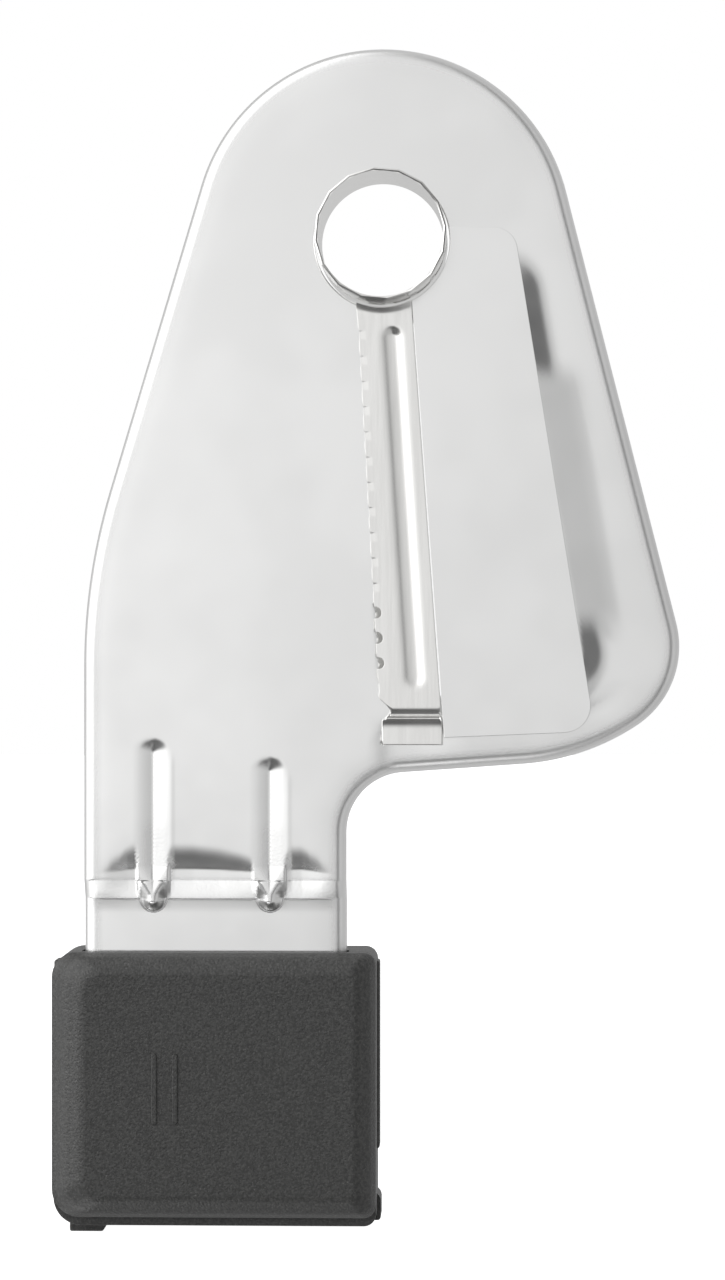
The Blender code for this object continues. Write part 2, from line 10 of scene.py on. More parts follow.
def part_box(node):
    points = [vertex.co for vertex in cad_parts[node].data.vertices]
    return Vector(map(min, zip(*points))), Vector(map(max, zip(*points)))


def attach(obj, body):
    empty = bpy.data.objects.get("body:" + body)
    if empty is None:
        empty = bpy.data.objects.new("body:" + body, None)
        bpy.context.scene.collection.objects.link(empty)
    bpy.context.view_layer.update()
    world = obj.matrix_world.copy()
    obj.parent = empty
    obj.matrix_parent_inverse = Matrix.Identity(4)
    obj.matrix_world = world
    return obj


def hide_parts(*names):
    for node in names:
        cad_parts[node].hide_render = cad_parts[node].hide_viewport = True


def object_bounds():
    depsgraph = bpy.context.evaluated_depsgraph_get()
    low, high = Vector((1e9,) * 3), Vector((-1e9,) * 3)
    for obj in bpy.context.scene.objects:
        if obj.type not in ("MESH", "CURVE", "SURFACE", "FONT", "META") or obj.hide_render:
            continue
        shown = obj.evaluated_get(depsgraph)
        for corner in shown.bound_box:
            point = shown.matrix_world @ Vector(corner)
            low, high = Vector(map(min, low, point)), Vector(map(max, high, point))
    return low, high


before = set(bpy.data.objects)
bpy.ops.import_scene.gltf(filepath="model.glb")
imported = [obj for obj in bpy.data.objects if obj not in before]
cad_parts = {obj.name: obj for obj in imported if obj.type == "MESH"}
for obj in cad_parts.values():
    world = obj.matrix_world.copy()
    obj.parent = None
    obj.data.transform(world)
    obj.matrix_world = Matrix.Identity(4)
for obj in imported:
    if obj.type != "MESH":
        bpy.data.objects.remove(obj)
cadLow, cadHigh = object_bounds()
mm = 0.001
print("frame loaded")


# Frame places, in millimetres

def nodeBox(node):
    low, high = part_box(node)
    return low / mm, high / mm


plateLow, plateHigh = nodeBox("blade_plate")
ringLow, ringHigh = nodeBox("corer_ring")
landingLow, landingHigh = nodeBox("landing_plate")
frontLow, frontHigh = nodeBox("front_cover")
rearLow, rearHigh = nodeBox("rear_cover")
ringX = (ringLow.x + ringHigh.x) / 2
ringZ = (ringLow.z + ringHigh.z) / 2
ringOuter = (ringHigh.x - ringLow.x) / 2
panelFront = landingLow.y
weldGap = 0.3
sheetFront = landingHigh.y + 1.5                # the plateau and the weld gap fit in front of the flat sheet
ringClear = ringOuter + weldGap                 # cut-outs round the ring


# Modelling by operators

def objectMode():
    if bpy.context.object and bpy.context.object.mode != "OBJECT":
        bpy.ops.object.mode_set(mode="OBJECT")


def clearPicks():
    objectMode()
    bpy.ops.object.select_all(action="DESELECT")


def activate(piece):
    clearPicks()
    piece.select_set(True)
    bpy.context.view_layer.objects.active = piece


def placed(name):                     # the new primitive gets its name, and its place goes into its mesh
    piece = bpy.context.object
    piece.name = name
    activate(piece)
    bpy.ops.object.transform_apply(location=True, rotation=True, scale=True)
    return piece


def addBox(name, low, high):
    clearPicks()
    low, high = Vector(low) * mm, Vector(high) * mm
    bpy.ops.mesh.primitive_cube_add(size=1, location=(low + high) / 2, scale=high - low)
    return placed(name)


def addRod(name, x, z, radius, y0, y1, sides=48, endRadius=None):    # round rod along Y, or a cone
    clearPicks()
    endRadius = radius if endRadius is None else endRadius
    bpy.ops.mesh.primitive_cone_add(vertices=sides, radius1=radius * mm, radius2=endRadius * mm, depth=(y1 - y0) * mm,
                                    location=Vector((x, (y0 + y1) / 2, z)) * mm, rotation=(-math.pi / 2, 0, 0))
    return placed(name)


def edit(piece, mode="FACE"):
    activate(piece)
    bpy.ops.object.mode_set(mode="EDIT")
    bpy.ops.mesh.select_mode(type=mode)
    bpy.ops.mesh.select_all(action="DESELECT")


def editAll(piece, mode="VERT"):
    edit(piece, mode)
    bpy.ops.mesh.select_all(action="SELECT")


def turnAll(piece, degrees, centre):   # about a line along Y
    editAll(piece)
    bpy.ops.transform.rotate(value=math.radians(degrees), orient_axis="Y", center_override=[c * mm for c in centre])


def pick(piece, kind, test):       # test gets the middle in millimetres and the normal, or the direction of an edge
    edit(piece, kind)
    bm = bmesh.from_edit_mesh(piece.data)
    bm.normal_update()
    for item in {"FACE": bm.faces, "EDGE": bm.edges, "VERT": bm.verts}[kind]:
        if kind == "EDGE":
            a, b = item.verts[0].co, item.verts[1].co
            middle, way = (a + b) / 2, (b - a).normalized()
        else:
            middle, way = item.calc_center_median() if kind == "FACE" else item.co, item.normal
        item.select_set(bool(test(middle / mm, way)))
    bm.select_flush_mode()
    bmesh.update_edit_mesh(piece.data)


def bevelPicked(width, segments):
    bpy.ops.mesh.bevel(offset=width * mm, segments=segments, profile=0.5, affect="EDGES", clamp_overlap=True)


def bevelAt(piece, y, width, segments):         # the edges that lie at this depth
    pick(piece, "EDGE", lambda mid, way: abs(mid.y - y) < 0.001)
    bevelPicked(width, segments)


def applied(piece, kind, **settings):
    modifier = piece.modifiers.new(kind.lower(), kind)
    for key, value in settings.items():
        setattr(modifier, key, value)
    bpy.ops.object.modifier_apply(modifier=modifier.name)


def boolean(piece, tool, operation="DIFFERENCE"):
    activate(piece)
    applied(piece, "BOOLEAN", operation=operation, solver="EXACT", object=tool)
    bpy.data.objects.remove(tool, do_unlink=True)


def bevelModifier(piece, width, segments, degrees):
    activate(piece)
    applied(piece, "BEVEL", width=width * mm, segments=segments, limit_method="ANGLE",
            angle_limit=math.radians(degrees), miter_outer="MITER_ARC")


def smoothBy(piece, degrees):
    activate(piece)
    bpy.ops.object.shade_smooth_by_angle(angle=math.radians(degrees))


def evenNormals(piece, degrees):      # big flat faces keep a flat shade beside their rounded edges
    smoothBy(piece, degrees)
    applied(piece, "WEIGHTED_NORMAL", keep_sharp=True, weight=80)


def tidyMesh(piece):
    same = 0.0005 * mm
    editAll(piece)
    bpy.ops.mesh.remove_doubles(threshold=same)
    bpy.ops.mesh.dissolve_degenerate(threshold=same)
    bpy.ops.mesh.normals_make_consistent(inside=False)
    objectMode()


def finishPiece(piece, name, node, material):
    objectMode()
    piece.name = name
    piece.data.name = name
    piece.data.materials.clear()
    piece.data.materials.append(material)
    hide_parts(node)
    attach(piece, "root")
    print("made", name, len(piece.data.polygons), "faces")
    return piece


# Sheets: pressed shapes as smooth height fields

def smoothMax(a, b, k):
    return np.maximum(a, b) + np.maximum(k - np.abs(a - b), 0) ** 2 / (4 * k)


def softClamp(t, low, high):          # 0 to 1 with rounded ends
    return 1 - smoothMax(1 - smoothMax(t, 0, low), 0, high)


def smoothStep(t):
    t = np.clip(t, 0, 1)
    return t * t * (3 - 2 * t)


def walked(stations):                 # (distance, degrees) stations as a curve: the distances and the drop at each
    place = np.linspace(stations[0][0], stations[-1][0], 400)
    slope = np.tan(np.radians(np.interp(place, *zip(*stations))))
    drop = np.concatenate(([0], np.cumsum((slope[1:] + slope[:-1]) / 2 * np.diff(place))))
    return place, drop


def arcPoints(centre, radius, start, end, steps):
    a = np.radians(np.linspace(start, end, steps + 1))
    return np.column_stack((centre[0] + radius * np.cos(a), centre[1] + radius * np.sin(a)))


def direction(degrees):
    return np.array((math.cos(math.radians(degrees)), math.sin(math.radians(degrees))))


def lineX(ends, z):
    (xa, za), (xb, zb) = ends
    return xa + (xb - xa) * (np.asarray(z) - za) / (zb - za)


def loopInside(points, loop):
    hit = np.zeros(len(points), bool)
    x, z = points[:, 0], points[:, 1]
    for (xa, za), (xb, zb) in zip(loop, np.roll(loop, -1, 0)):
        crosses = (za > z) != (zb > z)
        hit ^= crosses & (x < xa + (xb - xa) * (z - za) / (zb - za if zb != za else 1))
    return hit


def segmentDistance(points, a, b):
    side = np.asarray(b, float) - a
    t = np.clip((points - a) @ side / max(side @ side, 1e-12), 0, 1)
    return np.linalg.norm(points - a - t[:, None] * side, axis=1)


def loopDistance(points, loop):
    best = np.full(len(points), 1e9)
    for a, b in zip(loop, np.roll(loop, -1, 0)):
        best = np.minimum(best, segmentDistance(points, a, b))
    return best


def roundCorners(corners, radii, steps=6):
    loop = []
    for i, (corner, radius) in enumerate(zip(corners, radii)):
        p = Vector(corner)
        if radius <= 0:
            loop.append(tuple(p))
            continue
        a = (Vector(corners[i - 1]) - p).normalized()
        b = (Vector(corners[(i + 1) % len(corners)]) - p).normalized()
        half = a.angle(b) / 2
        centre = p + (a + b).normalized() * (radius / math.sin(half))
        start = p + a * (radius / math.tan(half)) - centre
        turn = start.angle_signed(p + b * (radius / math.tan(half)) - centre)
        for k in range(steps + 1):
            c, s = math.cos(-turn * k / steps), math.sin(-turn * k / steps)
            loop.append((centre.x + c * start.x - s * start.y, centre.y + s * start.x + c * start.y))
    return np.array(loop)


def resample(loop, spacing):          # the same loop with points close together along its long sides
    out = []
    for a, b in zip(loop, np.roll(loop, -1, 0)):
        steps = max(1, int(round(np.linalg.norm(b - a) / spacing)))
        out.append(a + (b - a) * np.arange(steps)[:, None] / steps)
    return np.vstack(out)


def moveLoop(loop, distance):         # sideways, to the left of its direction of travel
    side = np.roll(loop, -1, 0) - loop
    side /= np.linalg.norm(side, axis=1)[:, None]
    normal = np.column_stack((-side[:, 1], side[:, 0]))
    mean = normal + np.roll(normal, 1, 0)
    mean /= np.linalg.norm(mean, axis=1)[:, None]
    stretch = np.maximum(np.sum(mean * normal, axis=1), 0.6)
    return loop + mean * (distance / stretch)[:, None]


def cutEdge(loop, roll, height, rear, inwards):
    # rows round a cut edge, front to rear: a support row, the rolled edge, the wall with a small bevel, support again
    support = moveLoop(loop, inwards * (roll + 0.12))
    rows = [(support, height(support))]
    for angle in np.radians((0, 30, 60, 90)):
        points = moveLoop(loop, inwards * roll * (1 - math.sin(angle)))
        rows.append((points, height(points) + roll * (1 - math.cos(angle))))
    small = 0.04
    for inset in (0, small):
        points = moveLoop(loop, inwards * inset)
        rows.append((points, rear(points) - small + inset))
    return rows + [(support, rear(support))]


def lattice(low, high, spacing):
    xs = np.arange(low[0], high[0], spacing)
    zs = np.arange(low[1], high[1], spacing * 0.866)
    grid = [np.column_stack((xs + (spacing / 2 if i % 2 else 0), np.full(len(xs), z))) for i, z in enumerate(zs)]
    return np.vstack(grid)


def spans(points, triangles):         # twice each triangle's area, counter-clockwise ones above zero
    a, b, c = (points[triangles[:, k]] for k in range(3))
    return (b[:, 0] - a[:, 0]) * (c[:, 1] - a[:, 1]) - (b[:, 1] - a[:, 1]) * (c[:, 0] - a[:, 0])


def triangleSides(triangle):
    a, b, c = triangle
    return [tuple(sorted(pair)) for pair in ((a, b), (b, c), (c, a))]


def dropSlivers(points, triangles, border):     # flat triangles outside a straight border
    thin = np.abs(spans(points, triangles)) < 1e-4
    solid = [tuple(t) for t in triangles[~thin]]
    slivers = [tuple(t) for t in triangles[thin]]
    while True:
        used = Counter(side for t in solid + slivers for side in triangleSides(t))
        outside = {t for t in slivers if any(used[side] == 1 and side not in border for side in triangleSides(t))}
        if not outside:
            return np.array(solid + slivers)
        slivers = [t for t in slivers if t not in outside]


def sheetMesh(name, borders, height, rear, zones, creases=()):
    # borders: row stacks from the front interior round to the rear interior, the outer one first
    # zones: (low, high, spacing) boxes of lattice points, finer ones later
    outer = borders[0][0][0]
    holes = [rows[0][0] for rows in borders[1:]]
    chosen = []
    for i, (low, high, spacing) in enumerate(zones):
        points = lattice(low, high, spacing)
        for finerLow, finerHigh, finer in zones[i + 1:]:
            points = points[~np.all((points > finerLow) & (points < finerHigh), axis=1)]
        points = points[loopInside(points, outer)]
        for hole in holes:
            points = points[~loopInside(points, hole)]
        for loop in [outer] + holes:
            points = points[loopDistance(points, loop) > spacing * 0.4]
        for run in creases:
            for a, b in zip(run, run[1:]):
                points = points[segmentDistance(points, a, b) > spacing * 0.3]
        chosen.append(points)
    flat, edges, starts = [], [], []
    count = 0
    for line in [outer] + holes + list(creases):
        closed = len(starts) < len(borders)
        edges += [(count + i, count + (i + 1) % len(line)) for i in range(len(line) - (not closed))]
        starts.append(count)
        flat.append(line)
        count += len(line)
    flat = np.vstack(flat + chosen)
    result = delaunay_2d_cdt([Vector(p) for p in flat], edges, [], 0, 1e-7)
    made = np.array([tuple(v) for v in result[0]])
    place = np.zeros(len(flat), int)
    for new, olds in enumerate(result[3]):
        for old in olds:
            place[old] = new
    triangles = np.array(result[2])
    middles = made[triangles].mean(axis=1)
    keep = loopInside(middles, outer)
    for hole in holes:
        keep &= ~loopInside(middles, hole)
    triangles = dropSlivers(made, triangles[keep], {tuple(sorted(place[list(e)])) for e in edges})
    front = np.column_stack((made[:, 0], height(made), made[:, 1]))
    back = np.column_stack((made[:, 0], rear(made), made[:, 1]))
    turned = spans(made, triangles) < 0
    triangles[turned] = triangles[turned][:, ::-1]      # counter-clockwise seen from -Y
    n = len(made)
    vertices = [front, back]
    faces = [tuple(t) for t in triangles] + [tuple(t[::-1] + n) for t in triangles]
    total = 2 * n
    for start, rows in zip(starts, borders):
        k = len(rows[0][0])
        rings = [place[start:start + k]]
        for points, depth in rows[1:-1]:
            vertices.append(np.column_stack((points[:, 0], depth, points[:, 1])))
            rings.append(np.arange(total, total + k))
            total += k
        rings.append(place[start:start + k] + n)
        for first, second in zip(rings, rings[1:]):
            faces += [(first[i], first[(i + 1) % k], second[(i + 1) % k], second[i]) for i in range(k)]
    mesh = bpy.data.meshes.new(name)
    mesh.from_pydata((np.vstack(vertices) * mm).tolist(), [], [tuple(int(i) for i in f) for f in faces])
    piece = bpy.data.objects.new(name, mesh)
    bpy.context.collection.objects.link(piece)
    bm = bmesh.new()
    bm.from_mesh(mesh)
    bmesh.ops.delete(bm, geom=[v for v in bm.verts if not v.link_faces], context="VERTS")
    bmesh.ops.remove_doubles(bm, verts=bm.verts, dist=1e-7)
    bmesh.ops.recalc_face_normals(bm, faces=bm.faces)
    loose = sum(1 for e in bm.edges if len(e.link_faces) != 2)
    bm.to_mesh(mesh)
    bm.free()
    mesh.shade_smooth()
    print(name, "open edges", loose, "triangles", sum(len(p.vertices) - 2 for p in mesh.polygons))
    return piece


# Blade plate: pressed sheet with a rolled rim, a joggle, two gussets and the plateau under the landing plate

plate = {"thickness": 0.7, "headRadius": 24.3, "leftTilt": 16.7, "rightTilt": 14.3, "hipRadius": 78.3,
         "lobeRadius": 12.1, "lobeHeight": 74.5, "bellyRadius": 30.2, "bellyStart": -56.4, "undersideTilt": 4.07,
         "armpitRadius": 7.7, "neckLeft": -16.8, "neckRight": 17.0, "tangCorner": 5.6,
         "rimLead": 3.2, "rimLeadTilt": 2.5, "rimRadius": 1.5, "rimTilt": 75.0, "rimTail": 0.5,
         "setback": 1.5, "dentTop": 49.5, "dentEnd": 46.1, "dentDepth": 0.32, "foldTop": 45.0,
         "riser": ((0.0, 0), (0.35, 1.6), (0.5, 2.3), (0.501, 29), (2.82, 29), (2.821, 2.4), (4.0, 1.4), (4.8, 0)),
         "creaseAt": (0.5, 2.82),
         "bays": (((0, 0), (0.25, 0.05), (0.45, 0.35), (0.75, 0.85), (0.92, 1), (0.96, 1), (1, 0)),
                  ((0, 0), (0.03, 0.9), (0.08, 1), (0.3, 1), (0.6, 0.85), (0.85, 0.6), (0.97, 0.42), (1, 0)),
                  ((0, 0), (0.04, 0.6), (0.14, 0.9), (0.35, 0.92), (0.6, 0.6), (0.8, 0.12), (1, 0))),
         "gussets": ((-7.85, 62.8), (7.15, 60.4)), "gussetTip": 40.5, "gussetCap": 1.75, "gussetCrest": (46.2, 42.7),
         "gussetLeft": ((0.0, 13), (0.5, 11.5), (1.1, 9), (1.7, 5), (2.2, 0)),
         "gussetRight": ((0.0, 8.4), (1.75, 8.4), (2.0, 4), (2.15, 0)), "gussetLip": (2.42, 0.2, 0.028),
         "plateauTop": 122.5, "plateauBottom": 70.5, "plateauInsets": (10.5, 0.6, 0.1),
         "plateauGentle": ((0.0, 0), (0.15, 10.3), (3.8, 10.3), (5.2, 8), (6.2, 0)),
         "plateauSteep": ((0.0, 0), (0.1, 19.0), (2.1, 19.0), (2.8, 11), (3.8, 0)), "plateauRise": 0.98,
         "steepAbove": (107.5, 112.0), "steepBelow": (80.0, 74.5), "pull": (2.8, 0.24, 0.09),
         "leadIn": (70.4, 80.2, 0.26),
         "windowTop": 115.8, "windowBottom": 68.2, "windowWidth": 12.0, "windowLedge": (80.0, 3.4), "windowIn": 1.25,
         "windowCorners": (1.2, 2.0, 2.0, 1.2, 1.2, 0.6),
         "edgeRoll": 0.16, "screwHole": 1.6}
bladeEdge = ((18.6, 115.6), (21.3, 66.8))       # the serrated side, as two (x, z) points
bladeBack = ((25.35, 118.2), (29.2, 66.1))
landingRight = ((38.7, 126.5), (48.0, 68.6))


def neckSide(run):                    # a straight side of the neck, with a point on every line of the joggle
    lines = plate["foldTop"] - np.concatenate((plate["creaseAt"], np.arange(-1.2, 5.0, 0.17)))
    heights = np.sort(np.concatenate((run[:, 1][np.abs(run[:, 1] - 43) > 3.4], lines)))
    if run[-1][1] < run[0][1]:
        heights = heights[::-1]
    heights = heights[np.concatenate(([True], np.abs(np.diff(heights)) > 0.03))]
    return np.column_stack((np.full(len(heights), run[0][0]), heights))


def plateOutline(inset=0.0):
    p = plate
    left, right, down = 180 - p["leftTilt"], p["rightTilt"], p["undersideTilt"] - 90
    head = np.array((ringX, plateHigh.z - p["headRadius"]))
    leftWay, rightWay, downWay = direction(left), direction(right), direction(down)
    hipX = p["neckLeft"] + p["hipRadius"]
    hip = (hipX, (head @ leftWay + p["headRadius"] - p["hipRadius"] - hipX * leftWay[0]) / leftWay[1])
    lobeX = (head @ rightWay + p["headRadius"] - p["lobeRadius"] - p["lobeHeight"] * rightWay[1]) / rightWay[0]
    lobe = np.array((lobeX, p["lobeHeight"]))
    belly = lobe + direction(p["bellyStart"]) * (p["lobeRadius"] - p["bellyRadius"])
    under = belly + downWay * p["bellyRadius"]
    pitX = p["neckRight"] + p["armpitRadius"]
    pit = (pitX, (under @ downWay + p["armpitRadius"] - pitX * downWay[0]) / downWay[1])
    tangX = (p["neckLeft"] + p["tangCorner"], p["neckRight"] - p["tangCorner"])
    tangZ = plateLow.z + p["tangCorner"]
    parts = [(arcPoints(hip, p["hipRadius"] - inset, 180, left, 36), 60),
             (arcPoints(head, p["headRadius"] - inset, left, right, 110), 90),
             (arcPoints(lobe, p["lobeRadius"] - inset, right, p["bellyStart"], 34), 1),
             (arcPoints(belly, p["bellyRadius"] - inset, p["bellyStart"], down, 26)[1:], 28),
             (arcPoints(pit, p["armpitRadius"] + inset, down + 180, 180, 26), 150),
             (arcPoints((tangX[1], tangZ), p["tangCorner"] - inset, 0, -90, 6), 16),
             (arcPoints((tangX[0], tangZ), p["tangCorner"] - inset, -90, -180, 6), 150)]
    rows = []
    for (arc, steps), (following, _) in zip(parts, parts[1:] + parts[:1]):
        rows.append(arc)
        if steps > 1:
            run = np.linspace(arc[-1], following[0], steps + 1)[1:-1]
            rows.append(neckSide(run) if abs(arc[-1][0] - following[0][0]) < 0.01 else run)
    return np.vstack(rows)


def rimProfile():                     # (inset, drop, tilt) rows walked from the flat out to the cut edge
    p = plate
    walk = [(0.0, 0.0)]
    walk += [(p["rimLead"] * t, p["rimLeadTilt"] * t * t) for t in (0.3, 0.5, 0.7, 0.85, 1.0)]
    bend = p["rimRadius"] * math.radians(p["rimTilt"] - p["rimLeadTilt"])
    walk += [(p["rimLead"] + bend * t, p["rimLeadTilt"] + (p["rimTilt"] - p["rimLeadTilt"]) * t)
             for t in (0.06, 0.14, 0.23, 0.33, 0.44, 0.55, 0.66, 0.77, 0.88, 1.0)]
    walk += [(walk[-1][0] + p["rimTail"], p["rimTilt"])]
    rows = [(0.0, 0.0, 0.0)]
    for (s0, t0), (s1, t1) in zip(walk, walk[1:]):
        mid = math.radians((t0 + t1) / 2)
        across, drop, _ = rows[-1]
        rows.append((across + (s1 - s0) * math.cos(mid), drop + (s1 - s0) * math.sin(mid), t1))
    width = rows[-1][0]
    return [(width - across, drop, tilt) for across, drop, tilt in rows]


rimRows = rimProfile()
rimWidth = rimRows[0][0]


def joggleDepth(points):
    p = plate
    x, z = points[:, 0], points[:, 1]
    (leftX, _), (rightX, _) = p["gussets"]
    half = 1.9
    sides = ((p["neckLeft"] + 1.6, leftX - half), (leftX + half, rightX - half), (rightX + half, p["neckRight"] - 1.6))
    arch = np.zeros(len(points))
    for (x0, x1), bay in zip(sides, p["bays"]):
        arch = np.maximum(arch, np.interp((x - x0) / (x1 - x0), *zip(*bay)) * (x > x0) * (x < x1))
    top = p["dentEnd"] + 0.6 + (p["dentTop"] - p["dentEnd"] - 0.6) * arch
    end = p["dentEnd"] - 0.7 * (1 - arch)
    t = softClamp((top - z) / np.maximum(top - end, 0.1), 0.02, 0.03)
    dent = p["dentDepth"] * arch * t * t
    place, drop = walked(p["riser"])
    run = np.interp(p["foldTop"] - z, place, drop) / drop[-1]
    return dent * (1 - run) + p["setback"] * run


def withGussets(points, depth):        # grooves in the head that run on as small tongues over the riser
    p = plate
    x, z = points[:, 0], points[:, 1]
    crestTop, crestEnd = p["gussetCrest"]
    (leftPlace, leftDrop), (rightPlace, rightDrop) = walked(p["gussetLeft"]), walked(p["gussetRight"])
    lipAt, lipWide, lipHigh = p["gussetLip"]
    for centre, top in p["gussets"]:
        side = x - centre
        over = np.maximum(z - (top - p["gussetCap"]), 0) * leftPlace[-1] / p["gussetCap"]
        away = np.hypot(side, over)
        narrow = np.clip((crestTop - z) / (crestTop - crestEnd), 0, 1) * (leftPlace[-1] - 0.15)
        reach = away + narrow
        left = leftDrop[-1] - np.interp(reach, leftPlace, leftDrop)
        right = rightDrop[-1] - np.interp(reach, rightPlace, rightDrop)
        groove = np.where(side < 0, left, right * leftDrop[-1] / rightDrop[-1])
        lip = lipHigh * np.exp(-((side - lipAt) / lipWide) ** 2) * smoothStep((top - 1.5 - z) / 2) * \
            smoothStep((z - 45.5) / 1.5)
        above = smoothMax(depth, groove, 0.03) * (groove > 0) + depth * (groove <= 0) - lip
        down = np.clip((crestTop - 2.0 - z) / (crestTop - 2.0 - p["gussetTip"]), 0, 1)
        foot = 1.9 * (1 - down ** 4) ** 0.45
        crest = np.maximum(leftPlace[-1] - narrow, 0.12) * 0.9
        share = smoothStep((np.abs(side) - crest) / np.maximum(foot - crest, 0.25))
        fall = np.clip((crestEnd - 0.9 - z) / (crestEnd - 0.9 - p["gussetTip"]), 0, 1)
        tongue = groove + (p["setback"] - groove) * fall ** 1.5
        below = np.minimum(depth, tongue + (depth - tongue) * share)
        near = (np.abs(side) < 3.2) & (z > p["gussetTip"] - 1) & (z < top + 1)
        low = smoothStep((crestTop - 1.6 - z) / 0.4)
        depth = np.where(near, above * (1 - low) + below * low, depth)
    return depth


def plateauLoop():
    p = plate
    left, upRight, downRight = p["plateauInsets"]
    top, bottom = p["plateauTop"], p["plateauBottom"]
    corners = [(lineX(bladeEdge, top) + left, top), (lineX(landingRight, top) - upRight, top),
               (lineX(landingRight, bottom) - downRight, bottom), (lineX(bladeEdge, bottom) + left, bottom)]
    return roundCorners(corners, [3.0] * 4, 8)


plateauTopLoop = plateauLoop()


def plateauHeight(points):
    p = plate
    z = points[:, 1]
    away = loopDistance(points, plateauTopLoop)
    away[loopInside(points, plateauTopLoop)] = 0
    gentle, steep = (1 - np.interp(away, place, drop) / drop[-1]
                     for place, drop in (walked(p["plateauGentle"]), walked(p["plateauSteep"])))
    low, high = p["steepAbove"]
    under, full = p["steepBelow"]
    share = np.maximum(smoothStep((z - low) / (high - low)), smoothStep((under - z) / (under - full)))
    return p["plateauRise"] * (gentle * (1 - share) + steep * share)


def edgePull(points):                 # the sheet drawn down towards its lower edge, most in the armpit
    reach, strong, weak = plate["pull"]
    x = points[:, 0]
    share = strong + (weak - strong) * smoothStep((x - 24) / 9)
    share = share * smoothStep((x - 20.3) / 2.6) * (1 - smoothStep((x - 46) / 8))
    inside = loopDistance(points, plateOutline()[::2])
    return share * np.clip(reach + rimWidth - inside, 0, reach) ** 2 / (2 * reach)


def pressDepth(points):                 # the pressed shape without the rim
    near = points[:, 1] < 66
    depth = np.zeros(len(points))
    depth[near] = withGussets(points[near], joggleDepth(points[near]))
    raised = (points[:, 1] > 60) & (points[:, 0] > 20)
    depth[raised] -= plateauHeight(points[raised])
    low, high, slope = plate["leadIn"]              # the sheet dips towards the window behind the lowest teeth
    lead = (points[:, 1] > low - 1) & (points[:, 1] < high + 1) & (points[:, 0] > 19) & (points[:, 0] < 25)
    x, z = points[lead, 0], points[lead, 1]
    depth[lead] += slope * np.clip(x - lineX(bladeEdge, z) + 0.05, 0, 2) * smoothStep((z - low + 0.5) / 0.8) * \
        smoothStep((high + 0.5 - z) / 0.8)
    lower = (points[:, 1] < 70) & (points[:, 1] > 45) & (points[:, 0] > 17)
    depth[lower] += edgePull(points[lower])
    return depth


def slopeStretch(points, depth, step=0.05):      # how much a sloping sheet's thickness grows along Y
    dx = (depth(points + (step, 0)) - depth(points - (step, 0))) / (2 * step)
    dz = (depth(points + (0, step)) - depth(points - (0, step))) / (2 * step)
    return np.sqrt(1 + dx * dx + dz * dz)


def plateFront(points):
    return sheetFront + pressDepth(points)


def plateRear(points):
    return plateFront(points) + plate["thickness"] * slopeStretch(points, pressDepth)


def plateBorder():
    t = plate["thickness"]
    rows = []
    for inset, drop, tilt in rimRows:
        loop = plateOutline(inset)
        rows.append((loop, plateFront(loop) + drop))
    inset, drop, tilt = rimRows[-1]
    out, along = math.sin(math.radians(tilt)), math.cos(math.radians(tilt))
    for depth, reach in ((0.06, 0.05), (0.2, 0.1), (t - 0.15, 0.1), (t - 0.04, 0.04)):
        # round the cut edge: depth goes through the sheet, reach goes on along it
        loop = plateOutline(inset + depth * out - reach * along)
        rows.append((loop, plateFront(loop) + drop + depth * along + reach * out))
    for inset, drop, tilt in rimRows[::-2]:
        a = math.radians(tilt)
        loop = plateOutline(inset + t * math.sin(a))
        extra = t * (slopeStretch(loop, pressDepth) - 1)
        rows.append((loop, plateFront(loop) + drop + t * math.cos(a) + extra))
    rows[-1] = (rows[0][0], plateRear(rows[0][0]))
    return rows


def windowLoop():
    p = plate
    ledgeZ, ledgeX = p["windowLedge"]
    top, bottom = p["windowTop"], p["windowBottom"]
    stations = ((p["windowIn"], top), (p["windowWidth"], top), (p["windowWidth"], bottom), (ledgeX, bottom),
                (ledgeX, ledgeZ), (p["windowIn"], ledgeZ))
    corners = [(lineX(bladeEdge, z) + x, z) for x, z in stations]
    return resample(roundCorners(corners, p["windowCorners"]), 0.5)


def signedTurn(loop):                  # +1 when a loop runs counter-clockwise
    x, z = loop[:, 0], loop[:, 1]
    return 1 if np.sum(x * np.roll(z, -1) - z * np.roll(x, -1)) > 0 else -1


def markFormed(piece, formed):         # 0 on flat steel, 1 where the press has worked it
    mesh = piece.data
    co = np.zeros(len(mesh.vertices) * 3)
    mesh.vertices.foreach_get("co", co)
    co = co.reshape(-1, 3) / mm
    attribute = mesh.attributes.new("formed", "FLOAT", "POINT")
    attribute.data.foreach_set("value", formed(co).astype(np.float32))


def plateFormed(co):
    points = co[:, (0, 2)]
    rim = smoothStep((2.6 - loopDistance(points, plateOutline()[::3])) / 1.5)
    pressed = smoothStep((slopeStretch(points, pressDepth, 0.2) - 1.0005) / 0.02)
    joggle = smoothStep((53 - points[:, 1]) / 3) * smoothStep((points[:, 1] - 38) / 3)
    return np.clip(np.maximum(rim, pressed * (0.2 + 0.6 * joggle)), 0, 1)


def screwRods(radius, y0, y1, sides=24):       # one rod on each cover screw's line, joined
    rods = []
    for index in range(1, 5):
        low, high = nodeBox("cover_screw_%d" % index)
        rods.append(addRod("rod", (low.x + high.x) / 2, (low.z + high.z) / 2, radius, y0, y1, sides))
    activate(rods[0])
    for rod in rods:
        rod.select_set(True)
    bpy.ops.object.join()
    return bpy.context.object


